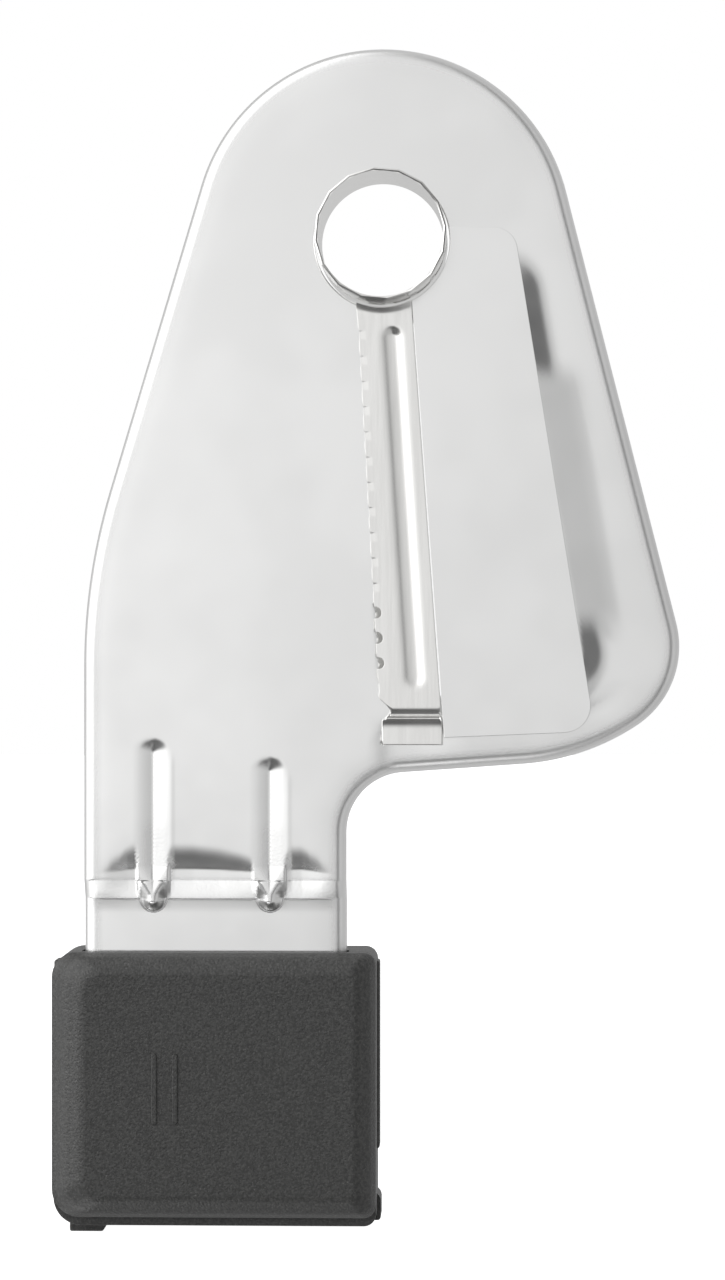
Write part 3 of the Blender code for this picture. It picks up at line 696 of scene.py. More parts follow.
def buildPlate(material):
    borders = [plateBorder()]
    holes = [arcPoints((ringX, ringZ), ringClear, 0, 360, 96)[:-1], windowLoop()]
    for loop in holes:
        if signedTurn(loop) > 0:
            loop = loop[::-1]
        borders.append(cutEdge(loop, plate["edgeRoll"], plateFront, plateRear, 1))
    zones = [((-20, 0), (62, 155), 1.15), ((33, 64), (58, 130), 0.5), ((14, 54), (52, 64), 0.6),
             ((-17, 39), (17, 51), 0.3), ((-11.5, 40), (-4, 64.5), 0.3), ((3.5, 40), (11, 62), 0.3),
             ((-10.2, 40), (-5.5, 46.6), 0.15), ((4.8, 40), (9.5, 46.6), 0.15), ((19.9, 70), (23.2, 80.6), 0.3)]
    creases = []
    for centre, top in plate["gussets"]:
        creases.append(np.linspace((centre, top - plate["gussetCap"] + 0.2), (centre, 44.7), 60))
    for drop in plate["creaseAt"]:
        height = plate["foldTop"] - drop
        ends = (plate["neckLeft"] + rimWidth, height), (plate["neckRight"] - rimWidth, height)
        creases.append(np.linspace(*ends, 130))
    piece = sheetMesh("bladePlate", borders, plateFront, plateRear, zones, creases)
    boolean(piece, screwRods(plate["screwHole"], sheetFront, 4.0))
    piece.data.shade_smooth()
    clear = 1.9                                     # the joggle's fold and foot stay crisp beside the tongues
    pick(piece, "EDGE", lambda mid, way: abs(way.x) > 0.99 and abs(mid.x) < 15.6 and
         min(abs(plate["foldTop"] - drop - mid.z) for drop in plate["creaseAt"]) < 0.01 and
         min(abs(mid.x - centre) for centre, top in plate["gussets"]) > clear)
    bpy.ops.mesh.mark_sharp()
    objectMode()
    markFormed(piece, plateFormed)
    return finishPiece(piece, "bladePlate", "blade_plate", material)


# Slicing blade: serrated strip with a rib, an S-bent foot and an end curled forward round the ring

blade = {"thickness": 0.5, "bend": (66.8, 63.9), "footBottom": 61.9, "footInset": 0.2,
         "step": ((0.0, 0), (0.15, 3.5), (0.75, 17), (0.95, 24), (1.05, 68), (1.38, 68), (1.46, 24), (1.65, 15),
                  (2.3, 5), (2.9, 0)),
         "notchFirst": 114.2, "notchPitch": 3.217, "notchCount": 15, "notchDepth": (0.1, 0.95), "notchHalf": 0.75,
         "hollow": (0.12, 0.9, 0.62, 0.03),
         "ribEnds": ((22.88, 113.9), (25.68, 70.6)),
         "ribLeft": ((0.0, 5), (0.5, 9), (0.72, 11), (0.77, 20), (0.98, 18), (1.2, 9), (1.5, 4), (1.7, 0)),
         "ribRight": ((0.0, -5), (0.4, 0), (0.66, 5), (0.74, 17), (1.15, 17), (1.4, 6), (1.7, 0)),
         "curl": ((0.0, 14), (0.5, 12), (0.8, 6), (1.1, 0)), "lowerCorner": 1.3, "edgeRoll": (0.015, 0.07)}


def bladeOutline():
    b = blade
    top = b["bend"][0]
    footLeft = lineX(bladeEdge, 64.7) + b["footInset"]
    footRight = lineX(bladeBack, 64.7)
    nick = (lineX(bladeEdge, top) + b["lowerCorner"] + 0.1, top - 0.4)
    points = [(footRight, b["footBottom"]), (footLeft, b["footBottom"]), (footLeft, 65.0)]
    points += [(nick[0] - 0.25, 65.75), nick, (nick[0] - 0.5, top + 0.25), (nick[0] - 1.0, top + 0.7),
               (lineX(bladeEdge, top + 1.15), top + 1.15)]
    shallow, deep = b["notchDepth"]
    for i in reversed(range(b["notchCount"])):
        z = b["notchFirst"] - i * b["notchPitch"]
        full = deep if 11 <= i <= 13 else shallow
        for k in range(13):
            a = math.pi * k / 12
            dz = -b["notchHalf"] * math.cos(a)
            depth = full * math.sin(a) ** 0.8 if 0 < k < 12 else 0
            points.append((lineX(bladeEdge, z + dz) + depth, z + dz))
    for dx in np.linspace(-3.3, 3.8, 22):
        points.append((ringX + dx, ringZ - math.sqrt(ringClear ** 2 - dx ** 2)))
    points += [(lineX(bladeBack, top), top), (footRight, 64.7)]
    return resample(np.array(points), 0.6)[::-1]


def bladeDrop(points):
    b = blade
    x, z = points[:, 0], points[:, 1]
    start, end = (np.array(p) for p in b["ribEnds"])
    away = segmentDistance(points, start, end)
    run = (end - start) / np.linalg.norm(end - start)
    side = run[0] * (z - start[1]) - run[1] * (x - start[0])
    (place, left), (_, right) = walked(b["ribLeft"]), walked(b["ribRight"])
    share = np.clip(0.5 + 0.5 * side / np.maximum(away, 1e-6) / 0.6, 0, 1)
    rib = left[-1] - np.interp(away, place, left) * (1 - share) - \
        np.interp(away, place, right) * share * left[-1] / right[-1]
    reach = np.linalg.norm(points - (ringX, ringZ), axis=1) - ringClear
    place, drop = walked(b["curl"])
    curl = drop[-1] - np.interp(reach, place, drop)
    place, drop = walked(b["step"])
    fall = np.interp(b["bend"][0] - z, place, drop) / drop[-1]
    step = sheetFront - weldGap - b["thickness"] - panelFront
    inset, wide, tall, deep = b["hollow"]       # small ground hollows behind the shallow notches
    index = np.clip(np.round((b["notchFirst"] - z) / b["notchPitch"]), 0, 10)
    along = (z - b["notchFirst"] + index * b["notchPitch"]) / tall
    across = np.interp(x - lineX(bladeEdge, z), (0, inset, wide), (0, 1, 0))
    hollow = deep * across * np.clip(2.5 * (1 - along ** 2), 0, 1)
    return step * fall + rib + hollow - curl


def bladeFront(points):
    return panelFront + bladeDrop(points)


def bladeRear(points):
    return bladeFront(points) + blade["thickness"] * slopeStretch(points, bladeDrop)


def bladeFormed(co):
    return np.clip((slopeStretch(co[:, (0, 2)], bladeDrop) - 1.001) / 0.02, 0, 1)


def buildBlade(material):
    outline = bladeOutline()
    inwards = -1 if signedTurn(outline) < 0 else 1
    small, large = blade["edgeRoll"]
    teeth = (outline[:, 0] < lineX(bladeEdge, outline[:, 1]) + 1.3) & (outline[:, 1] > 67)
    border = cutEdge(outline, np.where(teeth, small, large), bladeFront, bladeRear, inwards)
    zones = [((17, 61), (31, 120), 0.36), ((17, 63.9), (31, 67.1), 0.16), ((17, 65.2), (31, 66.0), 0.08)]
    for i in range(11):
        z = blade["notchFirst"] - i * blade["notchPitch"]
        x = float(lineX(bladeEdge, z))
        zones.append(((x, z - 0.8), (x + 1.1, z + 0.8), 0.09))
    piece = sheetMesh("slicingBlade", [border], bladeFront, bladeRear, zones)
    markFormed(piece, bladeFormed)
    return finishPiece(piece, "slicingBlade", "slicing_blade", material)


# Corer ring: a tube whose front is ground by sixteen outside flats and a bevel inside

ring = {"wall": 0.45, "flats": 16, "flatLean": 0.11, "outerBevel": 0.16, "innerBevel": 0.17, "bevelTilt": 19.0,
        "turn": 6.0}


def buildRing(material):
    r = ring
    inner = ringOuter - r["wall"]
    y0, y1 = ringLow.y, ringHigh.y
    tube = addRod("corerRing", ringX, ringZ, ringOuter, y0, y1, 192)
    flat = ringOuter * math.cos(math.pi / r["flats"])
    grow = 1 / math.cos(math.pi / r["flats"])
    boolean(tube, addRod("bore", ringX, ringZ, inner, y0 - 1, y1 + 1, 192))
    lean = 1 / math.tan(math.radians(r["bevelTilt"]))
    length = y1 - y0 + 1
    for apothem, slope, depth, operation in ((flat, r["flatLean"], length, "INTERSECT"),
                                             (flat - r["outerBevel"], lean, length, "INTERSECT"),
                                             (flat - r["outerBevel"], -lean, r["innerBevel"] / lean, "DIFFERENCE")):
        start, end = y0 - 0.05, y0 + depth
        tool = addRod("grinder", ringX, ringZ, (apothem + slope * (start - y0)) * grow, start, end, r["flats"],
                      (apothem + slope * (end - y0)) * grow)
        turnAll(tool, r["turn"], (ringX, 0, ringZ))
        boolean(tube, tool, operation)
    tidyMesh(tube)
    smoothBy(tube, 9)
    return finishPiece(tube, "corerRing", "corer_ring", material)


# Landing plate: flat sheet cut round the ring

landing = {"topCorner": 2.6, "bottomCorner": 4.2, "gap": 0.14, "edge": 0.05}


def buildLanding(material):
    low, high = landingLow, landingHigh
    corners = [(lineX(bladeBack, low.z) + landing["gap"], low.z), (lineX(landingRight, low.z + 0.8), low.z + 0.8),
               (lineX(landingRight, high.z), high.z), (lineX(bladeBack, high.z) + landing["gap"], high.z)]
    clearPicks()
    middle, half = Vector((36, low.y, 95)), 10
    bpy.ops.mesh.primitive_plane_add(size=2 * half * mm, location=middle * mm, rotation=(math.pi / 2, 0, 0))
    piece = placed("landing")
    for corner, (sideX, sideZ) in zip(corners, ((-1, -1), (1, -1), (1, 1), (-1, 1))):
        start = middle + Vector((sideX, 0, sideZ)) * half
        pick(piece, "VERT", lambda co, no: (co - start).length < 0.01)
        bpy.ops.transform.translate(value=(Vector((corner[0], low.y, corner[1])) - start) * mm)
    for (x, z), size in ((corners[1], landing["bottomCorner"]), (corners[2], landing["topCorner"])):
        pick(piece, "VERT", lambda co, no: math.hypot(co.x - x, co.z - z) < 0.01)
        bpy.ops.mesh.bevel(offset=size * 0.95 * mm, segments=12, affect="VERTICES")
    bpy.ops.mesh.select_all(action="SELECT")
    bpy.ops.mesh.extrude_region_move(TRANSFORM_OT_translate={"value": (0, (high.y - low.y) * mm, 0)})
    bpy.ops.mesh.select_all(action="SELECT")
    bpy.ops.mesh.normals_make_consistent(inside=False)
    boolean(piece, addRod("ringSide", ringX, ringZ, ringClear + 0.05, low.y - 2, high.y + 2, 160))
    bevelModifier(piece, landing["edge"], 2, 40)
    tidyMesh(piece)
    evenNormals(piece, 35)
    return finishPiece(piece, "landingPlate", "landing_plate", material)


# Base covers

base = {"wall": 2.0, "corners": (3.6, 1.6, 1.6, 3.2),
        "faceRings": ((2.6, 0.55, 0.1, 0.05, 0.1), (1.2, 1.75, 0.75, 0.6, 0.8), (0.0, 4.0, 2.3, 2.1, 2.5)),
        "bossRadius": 3.2, "pilot": 1.5, "markCentres": ((-7.4, 18.1), (-4.75, 18.1)), "markSize": (0.75, 9.0, 0.25),
        "rail": (9.5, 33.8, 1.0, 5.0), "nose": (-18.9, -13.6, 3.0), "ear": (4.0, 0.5, 6.0),
        "rearBevel": 0.9, "counterbore": 2.7, "counterboreDepth": 2.4}


def roundedBlock(name, low, high, corners):       # box whose edges along Y are rounded, each by its own radius
    block = addBox(name, low, high)
    places = ((low[0], low[2]), (high[0], low[2]), (high[0], high[2]), (low[0], high[2]))
    for (x, z), size in zip(places, corners):
        pick(block, "EDGE", lambda mid, way: abs(way.y) > 0.9 and math.hypot(mid.x - x, mid.z - z) < 0.01)
        bevelPicked(size, 10)
    objectMode()
    return block


def coverHollow(low, high, y0, y1, boss0, boss1):
    wall = base["wall"]
    hollow = roundedBlock("hollow", (low.x + wall, y0, low.z + wall), (high.x - wall, y1, high.z - wall), [1.5] * 4)
    boolean(hollow, screwRods(base["bossRadius"], boss0, boss1, 40))
    return hollow


def buildFrontCover(material):
    low, high = frontLow, frontHigh
    proud = base["markSize"][2]
    face = low.y + proud
    depth = base["faceRings"][0][0] + 0.3
    cover = roundedBlock("frontCover", (low.x, face + depth, low.z), (high.x, high.y, high.z), base["corners"])
    pick(cover, "FACE", lambda mid, way: way.y < -0.9)
    x0, x1, z0, z1, at = low.x, high.x, low.z, high.z, depth
    for deep, left, right, top, bottom in base["faceRings"]:     # each ring further in and further forward
        bpy.ops.mesh.extrude_region_move(TRANSFORM_OT_translate={"value": (0, (deep - at) * mm, 0)})
        new = (low.x + left, high.x - right, low.z + bottom, high.z - top)
        middle = Vector(((x0 + x1) / 2, face + deep, (z0 + z1) / 2)) * mm
        bpy.ops.transform.resize(value=((new[1] - new[0]) / (x1 - x0), 1, (new[3] - new[2]) / (z1 - z0)),
                                 center_override=middle)
        bpy.ops.transform.translate(value=((new[0] + new[1] - x0 - x1) / 2 * mm, 0,
                                           (new[2] + new[3] - z0 - z1) / 2 * mm))
        x0, x1, z0, z1 = new
        at = deep
    for deep, width in ((0.0, 0.7), (base["faceRings"][1][0], 0.6), (base["faceRings"][0][0], 0.6)):
        bevelAt(cover, face + deep, width, 5)
    objectMode()
    wall = base["wall"]
    boolean(cover, coverHollow(low, high, face + wall, high.y + 1, face + wall - 1, high.y + 2))
    boolean(cover, screwRods(base["pilot"], face + wall + 0.2, high.y + 2))
    wideMark, tallMark, _ = base["markSize"]
    for x, z in base["markCentres"]:
        mark = addBox("mark", (x - wideMark / 2, face - proud, z - tallMark / 2),
                      (x + wideMark / 2, face + 0.5, z + tallMark / 2))
        pick(mark, "EDGE", lambda mid, way: abs(way.y) > 0.9)
        bevelPicked(wideMark * 0.45, 5)
        bevelAt(mark, face - proud, 0.16, 3)
        objectMode()
        boolean(cover, mark, "UNION")
    tidyMesh(cover)
    evenNormals(cover, 32)
    return finishPiece(cover, "frontCover", "front_cover", material)


def softBox(name, low, high, edge):
    box = addBox(name, low, high)
    editAll(box, "EDGE")
    bevelPicked(edge, 3)
    objectMode()
    return box


def buildRearCover(material):
    low, high = rearLow, rearHigh
    right, left, floorZ = frontHigh.x, frontLow.x, 0.0
    proud = left - low.x
    cover = roundedBlock("rearCover", (left, low.y, floorZ), (right, high.y, high.z), base["corners"])
    bevelAt(cover, high.y, base["rearBevel"], 5)
    bevelAt(cover, low.y, 0.18, 2)
    objectMode()
    z0, z1, y0, y1 = base["rail"]
    boolean(cover, softBox("rails", (left - proud, y0, z0), (right + proud, y1, z1), 0.3), "UNION")
    x0, x1, deep = base["nose"]
    nose = addBox("nose", (x0, -1.0, low.z), (x1, deep, floorZ + 0.6))
    pick(nose, "VERT", lambda co, no: co.x > x1 - 0.01 and co.z < 0)
    bpy.ops.transform.translate(value=(-1.0 * mm, 0, 0))
    pick(nose, "EDGE", lambda mid, way: mid.z < floorZ)
    bevelPicked(0.25, 3)
    objectMode()
    boolean(cover, nose, "UNION")
    earTop, earFront, earRear = base["ear"]
    ear = addBox("ear", (right - 2, earFront, 0.3), (high.x, earRear, earTop))
    for upper, width, segments in ((True, 1.2, 5), (False, 0.4, 3)):
        pick(ear, "EDGE", lambda mid, way: abs(way.y) > 0.9 and mid.x > right and (mid.z > 1) == upper)
        bevelPicked(width, segments)
    objectMode()
    boolean(cover, ear, "UNION")
    wall = base["wall"]
    cover0 = Vector((left, low.y, floorZ))
    cover1 = Vector((right, high.y, high.z))
    neckFront = sheetFront + plate["setback"]
    boolean(cover, coverHollow(cover0, cover1, low.y - 1, high.y - wall, neckFront + plate["thickness"] + 0.3,
                               high.y + 1))
    rimDeep = neckFront + rimRows[-1][1] + plate["thickness"] + 0.3
    throat = softBox("throat", (plate["neckLeft"] - 0.3, low.y - 2, high.z - 5),
                     (plate["neckRight"] + 0.3, rimDeep, high.z + 2), 0.5)
    boolean(cover, throat)
    boolean(cover, screwRods(base["pilot"], low.y - 1, high.y + 1))
    boolean(cover, screwRods(base["counterbore"], high.y - base["counterboreDepth"], high.y + 1, 48))
    tidyMesh(cover)
    evenNormals(cover, 32)
    return finishPiece(cover, "rearCover", "rear_cover", material)


# Cover screws: pan heads with a cross recess, one modelled and copied

screwSizes = {"head": 2.4, "headHeight": 1.6, "shank": 1.2, "arm": 1.3, "armHalf": 0.3, "recess": 1.0,
              "recessTaper": 0.62, "turn": 23.0}


def buildScrews(material):
    s = screwSizes
    low, high = nodeBox("cover_screw_1")
    x, z = (low.x + high.x) / 2, (low.z + high.z) / 2
    seat = high.y - s["headHeight"]
    head = addRod("screwHead", x, z, s["head"], seat, high.y, 48)
    bevelAt(head, high.y, 0.75, 6)
    bevelAt(head, seat, 0.12, 2)
    objectMode()
    for across, up in ((s["arm"], s["armHalf"]), (s["armHalf"], s["arm"])):
        arm = addBox("arm", (x - across, high.y - s["recess"], z - up), (x + across, high.y + 1, z + up))
        pick(arm, "FACE", lambda mid, way: way.y < -0.9)
        taper = s["recessTaper"]
        bpy.ops.transform.resize(value=(taper, 1, taper), center_override=Vector((x, high.y - s["recess"], z)) * mm)
        objectMode()
        boolean(head, arm)
    shank = addRod("shank", x, z, s["shank"], low.y, seat + 0.2, 32)
    bevelAt(shank, low.y, 0.7, 2)
    objectMode()
    boolean(head, shank, "UNION")
    bevelModifier(head, 0.05, 2, 50)
    tidyMesh(head)
    evenNormals(head, 35)
    for index in range(1, 5):
        other, _ = nodeBox("cover_screw_%d" % index)
        copy = head if index == 1 else bpy.data.objects.new("screw", head.data.copy())
        if index > 1:
            bpy.context.collection.objects.link(copy)
            turnAll(copy, s["turn"] * index, (x, high.y, z))
            bpy.ops.transform.translate(value=((other.x - low.x) * mm, 0, (other.z - low.z) * mm))
            objectMode()
        finishPiece(copy, "coverScrew%d" % index, "cover_screw_%d" % index, material)


# Node helpers

def addNode(tree, kind, inputs=None, **settings):
    node = tree.nodes.new(kind)
    for key, value in settings.items():
        setattr(node, key, value)
    for key, value in (inputs or {}).items():
        if isinstance(value, bpy.types.NodeSocket):
            tree.links.new(value, node.inputs[key])
        else:
            node.inputs[key].default_value = value
    return node


def maths(tree, operation, a, b=0.0):
    return addNode(tree, "ShaderNodeMath", {0: a, 1: b}, operation=operation).outputs[0]


def noise(tree, position, scale, detail=2.0, roughness=0.5):
    node = addNode(tree, "ShaderNodeTexNoise", {"Vector": position, "Scale": scale, "Detail": detail,
                                                "Roughness": roughness})
    return node.outputs["Fac"]


def remap(tree, value, low, high, toLow=0.0, toHigh=1.0, shape="SMOOTHSTEP"):
    return addNode(tree, "ShaderNodeMapRange", {"Value": value, "From Min": low, "From Max": high, "To Min": toLow,
                                                "To Max": toHigh}, interpolation_type=shape).outputs["Result"]


def newGroup(name, inputs, outputs):      # Position is a vector, and every other socket is a number
    tree = bpy.data.node_groups.new(name, "ShaderNodeTree")
    tree.interface.new_socket(name="Position", in_out="INPUT", socket_type="NodeSocketVector")
    for socket, value in inputs.items():
        tree.interface.new_socket(name=socket, in_out="INPUT", socket_type="NodeSocketFloat").default_value = value
    for socket in outputs:
        tree.interface.new_socket(name=socket, in_out="OUTPUT", socket_type="NodeSocketFloat")
    return tree, addNode(tree, "NodeGroupInput").outputs, addNode(tree, "NodeGroupOutput")


# Press grain: fine orange-peel that grows where the sheet was formed, with a slow change of tone and gloss

def pressGrainGroup():
    tree, given, out = newGroup("pressGrain", {"Worked": 0.0, "Flat Roughness": 0.16, "Worked Roughness": 0.32,
                                               "Flat Height": 1e-7, "Worked Height": 2e-6, "Grain Size": 5200.0},
                                ("Roughness", "Height", "Tone"))
    position, worked = given["Position"], given["Worked"]
    fine = addNode(tree, "ShaderNodeTexNoise", {"Vector": position, "Scale": given["Grain Size"], "Detail": 3.0})
    patches = noise(tree, position, 260.0, 3.0)
    slow = noise(tree, position, 55.0, 2.0)
    mix = addNode(tree, "ShaderNodeMix", {0: worked, 2: given["Flat Roughness"], 3: given["Worked Roughness"]})
    vary = maths(tree, "MULTIPLY", maths(tree, "SUBTRACT", patches, 0.5), 0.07)
    tree.links.new(maths(tree, "ADD", mix.outputs[0], vary), out.inputs["Roughness"])
    height = addNode(tree, "ShaderNodeMix", {0: worked, 2: given["Flat Height"], 3: given["Worked Height"]})
    tree.links.new(maths(tree, "MULTIPLY", height.outputs[0], fine.outputs["Fac"]), out.inputs["Height"])
    tree.links.new(remap(tree, slow, 0.3, 0.7, 0.97, 1.0), out.inputs["Tone"])
    return tree


def polishGroup():                    # long fine scratches along one direction, from belt grinding
    tree, given, out = newGroup("polishLines", {"Height": 3e-7}, ("Height", "Mask"))
    coarse = noise(tree, given["Position"], 1.0, 4.0, 0.65)
    fine = noise(tree, given["Position"], 3.1, 2.0, 0.5)
    both = maths(tree, "ADD", maths(tree, "MULTIPLY", coarse, 0.7), maths(tree, "MULTIPLY", fine, 0.3))
    tree.links.new(maths(tree, "MULTIPLY", both, given["Height"]), out.inputs["Height"])
    tree.links.new(remap(tree, both, 0.35, 0.65), out.inputs["Mask"])
    return tree


def sparkTextureGroup():              # matt spark-eroded mould texture with a few glossy flecks
    tree, given, out = newGroup("sparkTexture", {"Height": 1e-5, "Grain Size": 3600.0}, ("Height", "Fleck", "Pit"))
    grain = addNode(tree, "ShaderNodeTexNoise", {"Vector": given["Position"], "Scale": given["Grain Size"],
                                                 "Detail": 3.0, "Roughness": 0.6})
    cells = addNode(tree, "ShaderNodeTexVoronoi", {"Vector": given["Position"], "Scale": given["Grain Size"]})
    pits = remap(tree, cells.outputs["Distance"], 0.1, 0.6)
    height = maths(tree, "ADD", grain.outputs["Fac"], maths(tree, "MULTIPLY", pits, 0.4))
    tree.links.new(maths(tree, "MULTIPLY", height, given["Height"]), out.inputs["Height"])
    sparse = noise(tree, given["Position"], 3600.0, 1.0)
    tree.links.new(remap(tree, sparse, 0.64, 0.74), out.inputs["Fleck"])
    tree.links.new(remap(tree, grain.outputs["Fac"], 0.38, 0.64), out.inputs["Pit"])
    return tree


def newMaterial(name):
    material = bpy.data.materials.new(name)
    material.use_nodes = True
    tree = material.node_tree
    position = addNode(tree, "ShaderNodeTexCoord").outputs["Object"]
    return material, tree, tree.nodes["Principled BSDF"], position


def useGroup(tree, group, inputs):
    return addNode(tree, "ShaderNodeGroup", inputs, node_tree=group).outputs


def tinted(tree, colourA, colourB, factor):
    node = addNode(tree, "ShaderNodeMix", {0: factor, 6: (*colourA, 1.0), 7: (*colourB, 1.0)}, data_type="RGBA")
    return node.outputs[2]


def wire(tree, shader, colour, roughness, height):
    bump = addNode(tree, "ShaderNodeBump", {"Height": height, "Strength": 1.0, "Distance": 1.0}).outputs["Normal"]
    for socket, source in (("Base Color", colour), ("Roughness", roughness), ("Normal", bump)):
        tree.links.new(source, shader.inputs[socket])


steels = {"satin": {"light": (0.93, 0.93, 0.925), "dark": (0.88, 0.88, 0.875), "flat": 0.17, "worked": 0.34,
                    "flatHeight": 1.2e-7, "workedHeight": 1.6e-5, "grain": 2700.0},
          "blade": {"light": (0.92, 0.915, 0.90), "dark": (0.86, 0.855, 0.84), "flat": 0.15, "worked": 0.20,
                    "flatHeight": 1.0e-7, "workedHeight": 5.0e-7, "grain": 6500.0, "lines": (900.0, 900.0, 60.0),
                    "lineHeight": 2.5e-7},
          "zinc": {"light": (0.62, 0.62, 0.60), "dark": (0.45, 0.45, 0.43), "roughness": 0.34,
                   "lines": (1500.0, 400.0, 1500.0), "lineHeight": 1.5e-6}}
plastic = {"body": (0.024, 0.024, 0.023), "pit": (0.054, 0.054, 0.052), "fleck": (0.085, 0.085, 0.082),
           "roughness": 0.43, "fleckRoughness": 0.32, "specular": 0.68, "height": 5e-5, "grain": 2700.0}


def pressedSteel(name, s, grain, lines=None):
    material, tree, shader, position = newMaterial(name)
    shader.inputs["Metallic"].default_value = 1.0
    worked = addNode(tree, "ShaderNodeAttribute", attribute_name="formed").outputs["Fac"]
    found = useGroup(tree, grain, {"Position": position, "Worked": worked, "Flat Roughness": s["flat"],
                                   "Worked Roughness": s["worked"], "Flat Height": s["flatHeight"],
                                   "Worked Height": s["workedHeight"], "Grain Size": s["grain"]})
    if lines:
        along = addNode(tree, "ShaderNodeMapping", {"Vector": position, "Scale": s["lines"]}).outputs[0]
        polish = useGroup(tree, lines, {"Position": along, "Height": s["lineHeight"]})
        tone, height = polish["Mask"], maths(tree, "ADD", found["Height"], polish["Height"])
    else:
        tone, height = remap(tree, found["Tone"], 0.97, 1.0), found["Height"]
    wire(tree, shader, tinted(tree, s["dark"], s["light"], tone), found["Roughness"], height)
    return material


def graphitePlastic(spark):
    p = plastic
    material, tree, shader, position = newMaterial("graphitePlastic")
    found = useGroup(tree, spark, {"Position": position, "Height": p["height"], "Grain Size": p["grain"]})
    body = tinted(tree, p["body"], p["pit"], found["Pit"])
    fleck = addNode(tree, "ShaderNodeMix", {0: found["Fleck"], 6: body, 7: (*p["fleck"], 1.0)}, data_type="RGBA")
    shader.inputs["Specular IOR Level"].default_value = p["specular"]
    gloss = remap(tree, found["Fleck"], 0.0, 1.0, p["roughness"], p["fleckRoughness"])
    wire(tree, shader, fleck.outputs[2], gloss, found["Height"])
    return material


def screwSteel(lines):
    s = steels["zinc"]
    material, tree, shader, position = newMaterial("screwSteel")
    shader.inputs["Metallic"].default_value = 1.0
    stretched = addNode(tree, "ShaderNodeMapping", {"Vector": position, "Scale": s["lines"]}).outputs[0]
    found = useGroup(tree, lines, {"Position": stretched, "Height": s["lineHeight"]})
    gloss = remap(tree, found["Mask"], 0.0, 1.0, s["roughness"] + 0.08, s["roughness"] - 0.06)
    wire(tree, shader, tinted(tree, s["dark"], s["light"], found["Mask"]), gloss, found["Height"])
    return material


# Studio: pale floor, camera, and a soft room of light panels and dark flags worked out by direction

studio = {"floor": 4.0, "floorDrop": 0.02, "floorColour": (0.5, 0.5, 0.5), "floorSeen": 1.0, "floorGlow": 0.0,
          "cameraPlace": (34.5, -484.5, 75.34), "cameraAim": (19.1, -4.5, 75.34), "lens": 105.5,
          "peak": 3.0,
          "around": ((-180, 0.60), (-150, 0.50), (-120, 0.58), (-95, 1.35), (-75, 2.2), (-55, 2.4), (-35, 1.7),
                     (-14, 1.10), (-8, 0.97), (-4, 0.90), (-1, 0.80), (1, 0.765), (5, 0.76), (10, 0.70), (16, 0.62),
                     (23, 0.57), (29, 0.38), (34, 0.12), (42, 0.09), (47, 0.30), (54, 0.60), (70, 0.62), (90, 0.50),
                     (120, 0.50), (150, 0.6), (180, 0.60)),
          "upwards": ((-90, 0.20), (-71, 0.12), (-65, 1.25), (-50, 1.4), (-45, 0.8), (-40, 0.14), (-15, 0.09),
                      (-11, 0.2), (-8, 0.6), (-5.5, 0.95), (-3, 1.0), (8, 1.0), (14, 0.97), (30, 0.95), (60, 0.75),
                      (90, 0.65)),
          "flag": ((-180, 0), (-105, 0), (-70, 1), (0, 1), (4, 0.85), (12, 0.3), (26, 0.05), (80, 0.05), (105, 0),
                   (180, 0))}


def greyRamp(tree, factor, stops, low, high, peak):
    node = addNode(tree, "ShaderNodeValToRGB", {"Fac": factor})
    ramp = node.color_ramp
    while len(ramp.elements) > 1:
        ramp.elements.remove(ramp.elements[-1])
    for i, (degrees, level) in enumerate(stops):
        place = (degrees - low) / (high - low)
        stop = ramp.elements[0] if i == 0 else ramp.elements.new(place)
        stop.position = place
        stop.color = (level / peak, level / peak, level / peak, 1.0)
    return maths(tree, "MULTIPLY", node.outputs["Color"], peak)


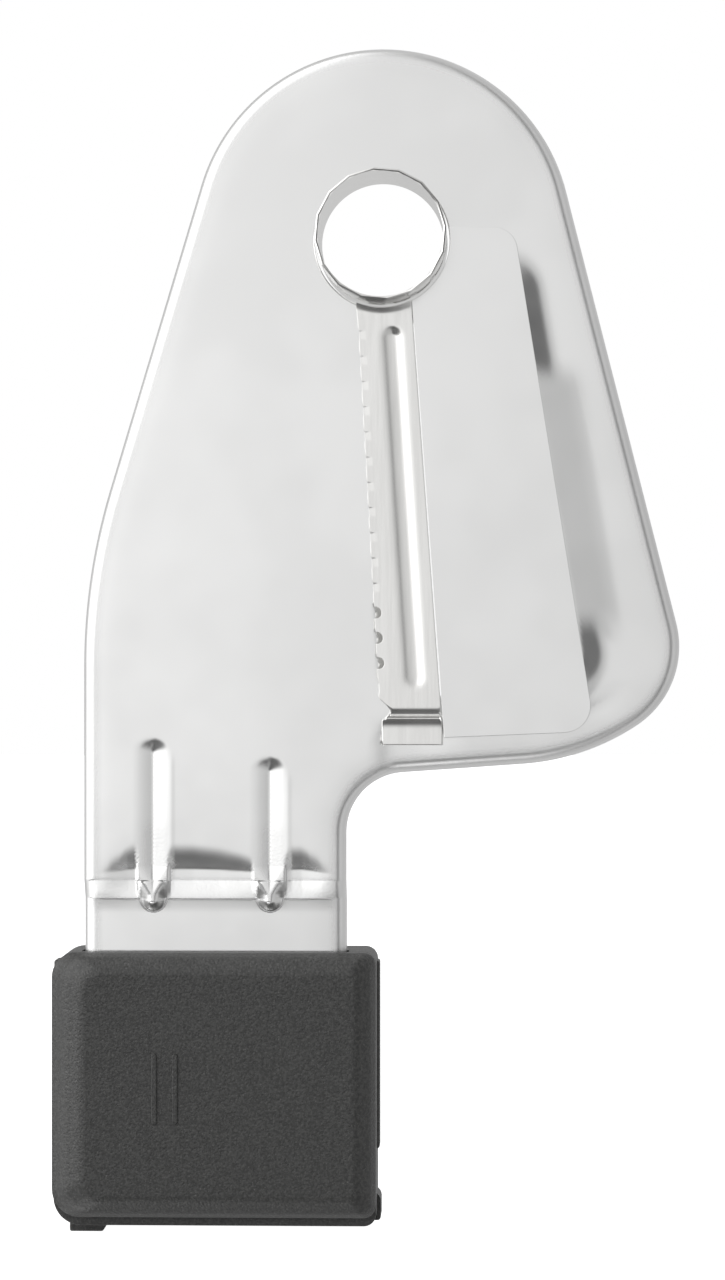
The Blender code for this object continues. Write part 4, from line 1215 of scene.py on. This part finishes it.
def buildWorld():
    s = studio
    world = bpy.data.worlds.new("studioRoom")
    bpy.context.scene.world = world
    world.use_nodes = True
    tree = world.node_tree
    way = addNode(tree, "ShaderNodeTexCoord").outputs["Generated"]
    axes = addNode(tree, "ShaderNodeSeparateXYZ", {"Vector": way}).outputs
    turn = maths(tree, "ARCTAN2", axes["X"], maths(tree, "MULTIPLY", axes["Y"], -1.0))
    azimuth = remap(tree, turn, -math.pi, math.pi, shape="LINEAR")
    rise = maths(tree, "ARCSINE", axes["Z"])
    elevation = remap(tree, rise, -math.pi / 2, math.pi / 2, shape="LINEAR")
    around = greyRamp(tree, azimuth, s["around"], -180, 180, s["peak"])
    upwards = greyRamp(tree, elevation, s["upwards"], -90, 90, s["peak"])
    flag = greyRamp(tree, azimuth, s["flag"], -180, 180, 1.0)
    share = addNode(tree, "ShaderNodeMix", {0: flag, 2: 1.0, 3: upwards}).outputs[0]
    light = maths(tree, "MULTIPLY", around, share)
    seen = addNode(tree, "ShaderNodeLightPath").outputs["Is Camera Ray"]
    shown = addNode(tree, "ShaderNodeMix", {0: seen, 2: light, 3: 1.0}).outputs[0]
    background = tree.nodes["Background"]
    tree.links.new(shown, background.inputs["Strength"])
    background.inputs["Color"].default_value = (1, 1, 1, 1)


def buildFloor():
    s = studio
    bpy.ops.mesh.primitive_plane_add(size=s["floor"], location=(0, 0, cadLow.z - s["floorDrop"] * mm))
    floor = bpy.context.object
    floor.name = "floor"
    material, tree, shader, position = newMaterial("floorPaper")
    tone = noise(tree, position, 3.0, 2.0)
    tree.links.new(tinted(tree, s["floorColour"], tuple(c * 1.02 for c in s["floorColour"]), tone),
                   shader.inputs["Base Color"])
    shader.inputs["Roughness"].default_value = 0.9
    shader.inputs["Specular IOR Level"].default_value = 0.2
    seen = addNode(tree, "ShaderNodeLightPath").outputs["Is Camera Ray"]
    glow = tinted(tree, (s["floorGlow"],) * 3, (s["floorSeen"],) * 3, seen)
    tree.links.new(glow, shader.inputs["Emission Color"])
    shader.inputs["Emission Strength"].default_value = 1.0
    floor.data.materials.append(material)
    floor.visible_glossy = False


def buildCamera():
    s = studio
    data = bpy.data.cameras.new("studioCamera")
    data.lens = s["lens"]
    data.sensor_width = 36
    data.clip_start, data.clip_end = 0.01, 20
    camera = bpy.data.objects.new("studioCamera", data)
    bpy.context.collection.objects.link(camera)
    place, aim = Vector(s["cameraPlace"]) * mm, Vector(s["cameraAim"]) * mm
    camera.location = place
    camera.rotation_mode = "QUATERNION"
    camera.rotation_quaternion = (aim - place).to_track_quat("-Z", "Y")
    bpy.context.scene.camera = camera


bpy.context.scene.view_settings.view_transform = "Standard"
buildCamera()
buildWorld()
buildFloor()
grain, lines, spark = pressGrainGroup(), polishGroup(), sparkTextureGroup()
satin = pressedSteel("satinSteel", steels["satin"], grain)
bladeMetal = pressedSteel("bladeSteel", steels["blade"], grain, lines)
graphite, zinc = graphitePlastic(spark), screwSteel(lines)
print("materials ready")
buildPlate(satin)
buildBlade(bladeMetal)
buildRing(bladeMetal)
buildLanding(satin)
buildFrontCover(graphite)
buildRearCover(graphite)
buildScrews(zinc)
objectMode()
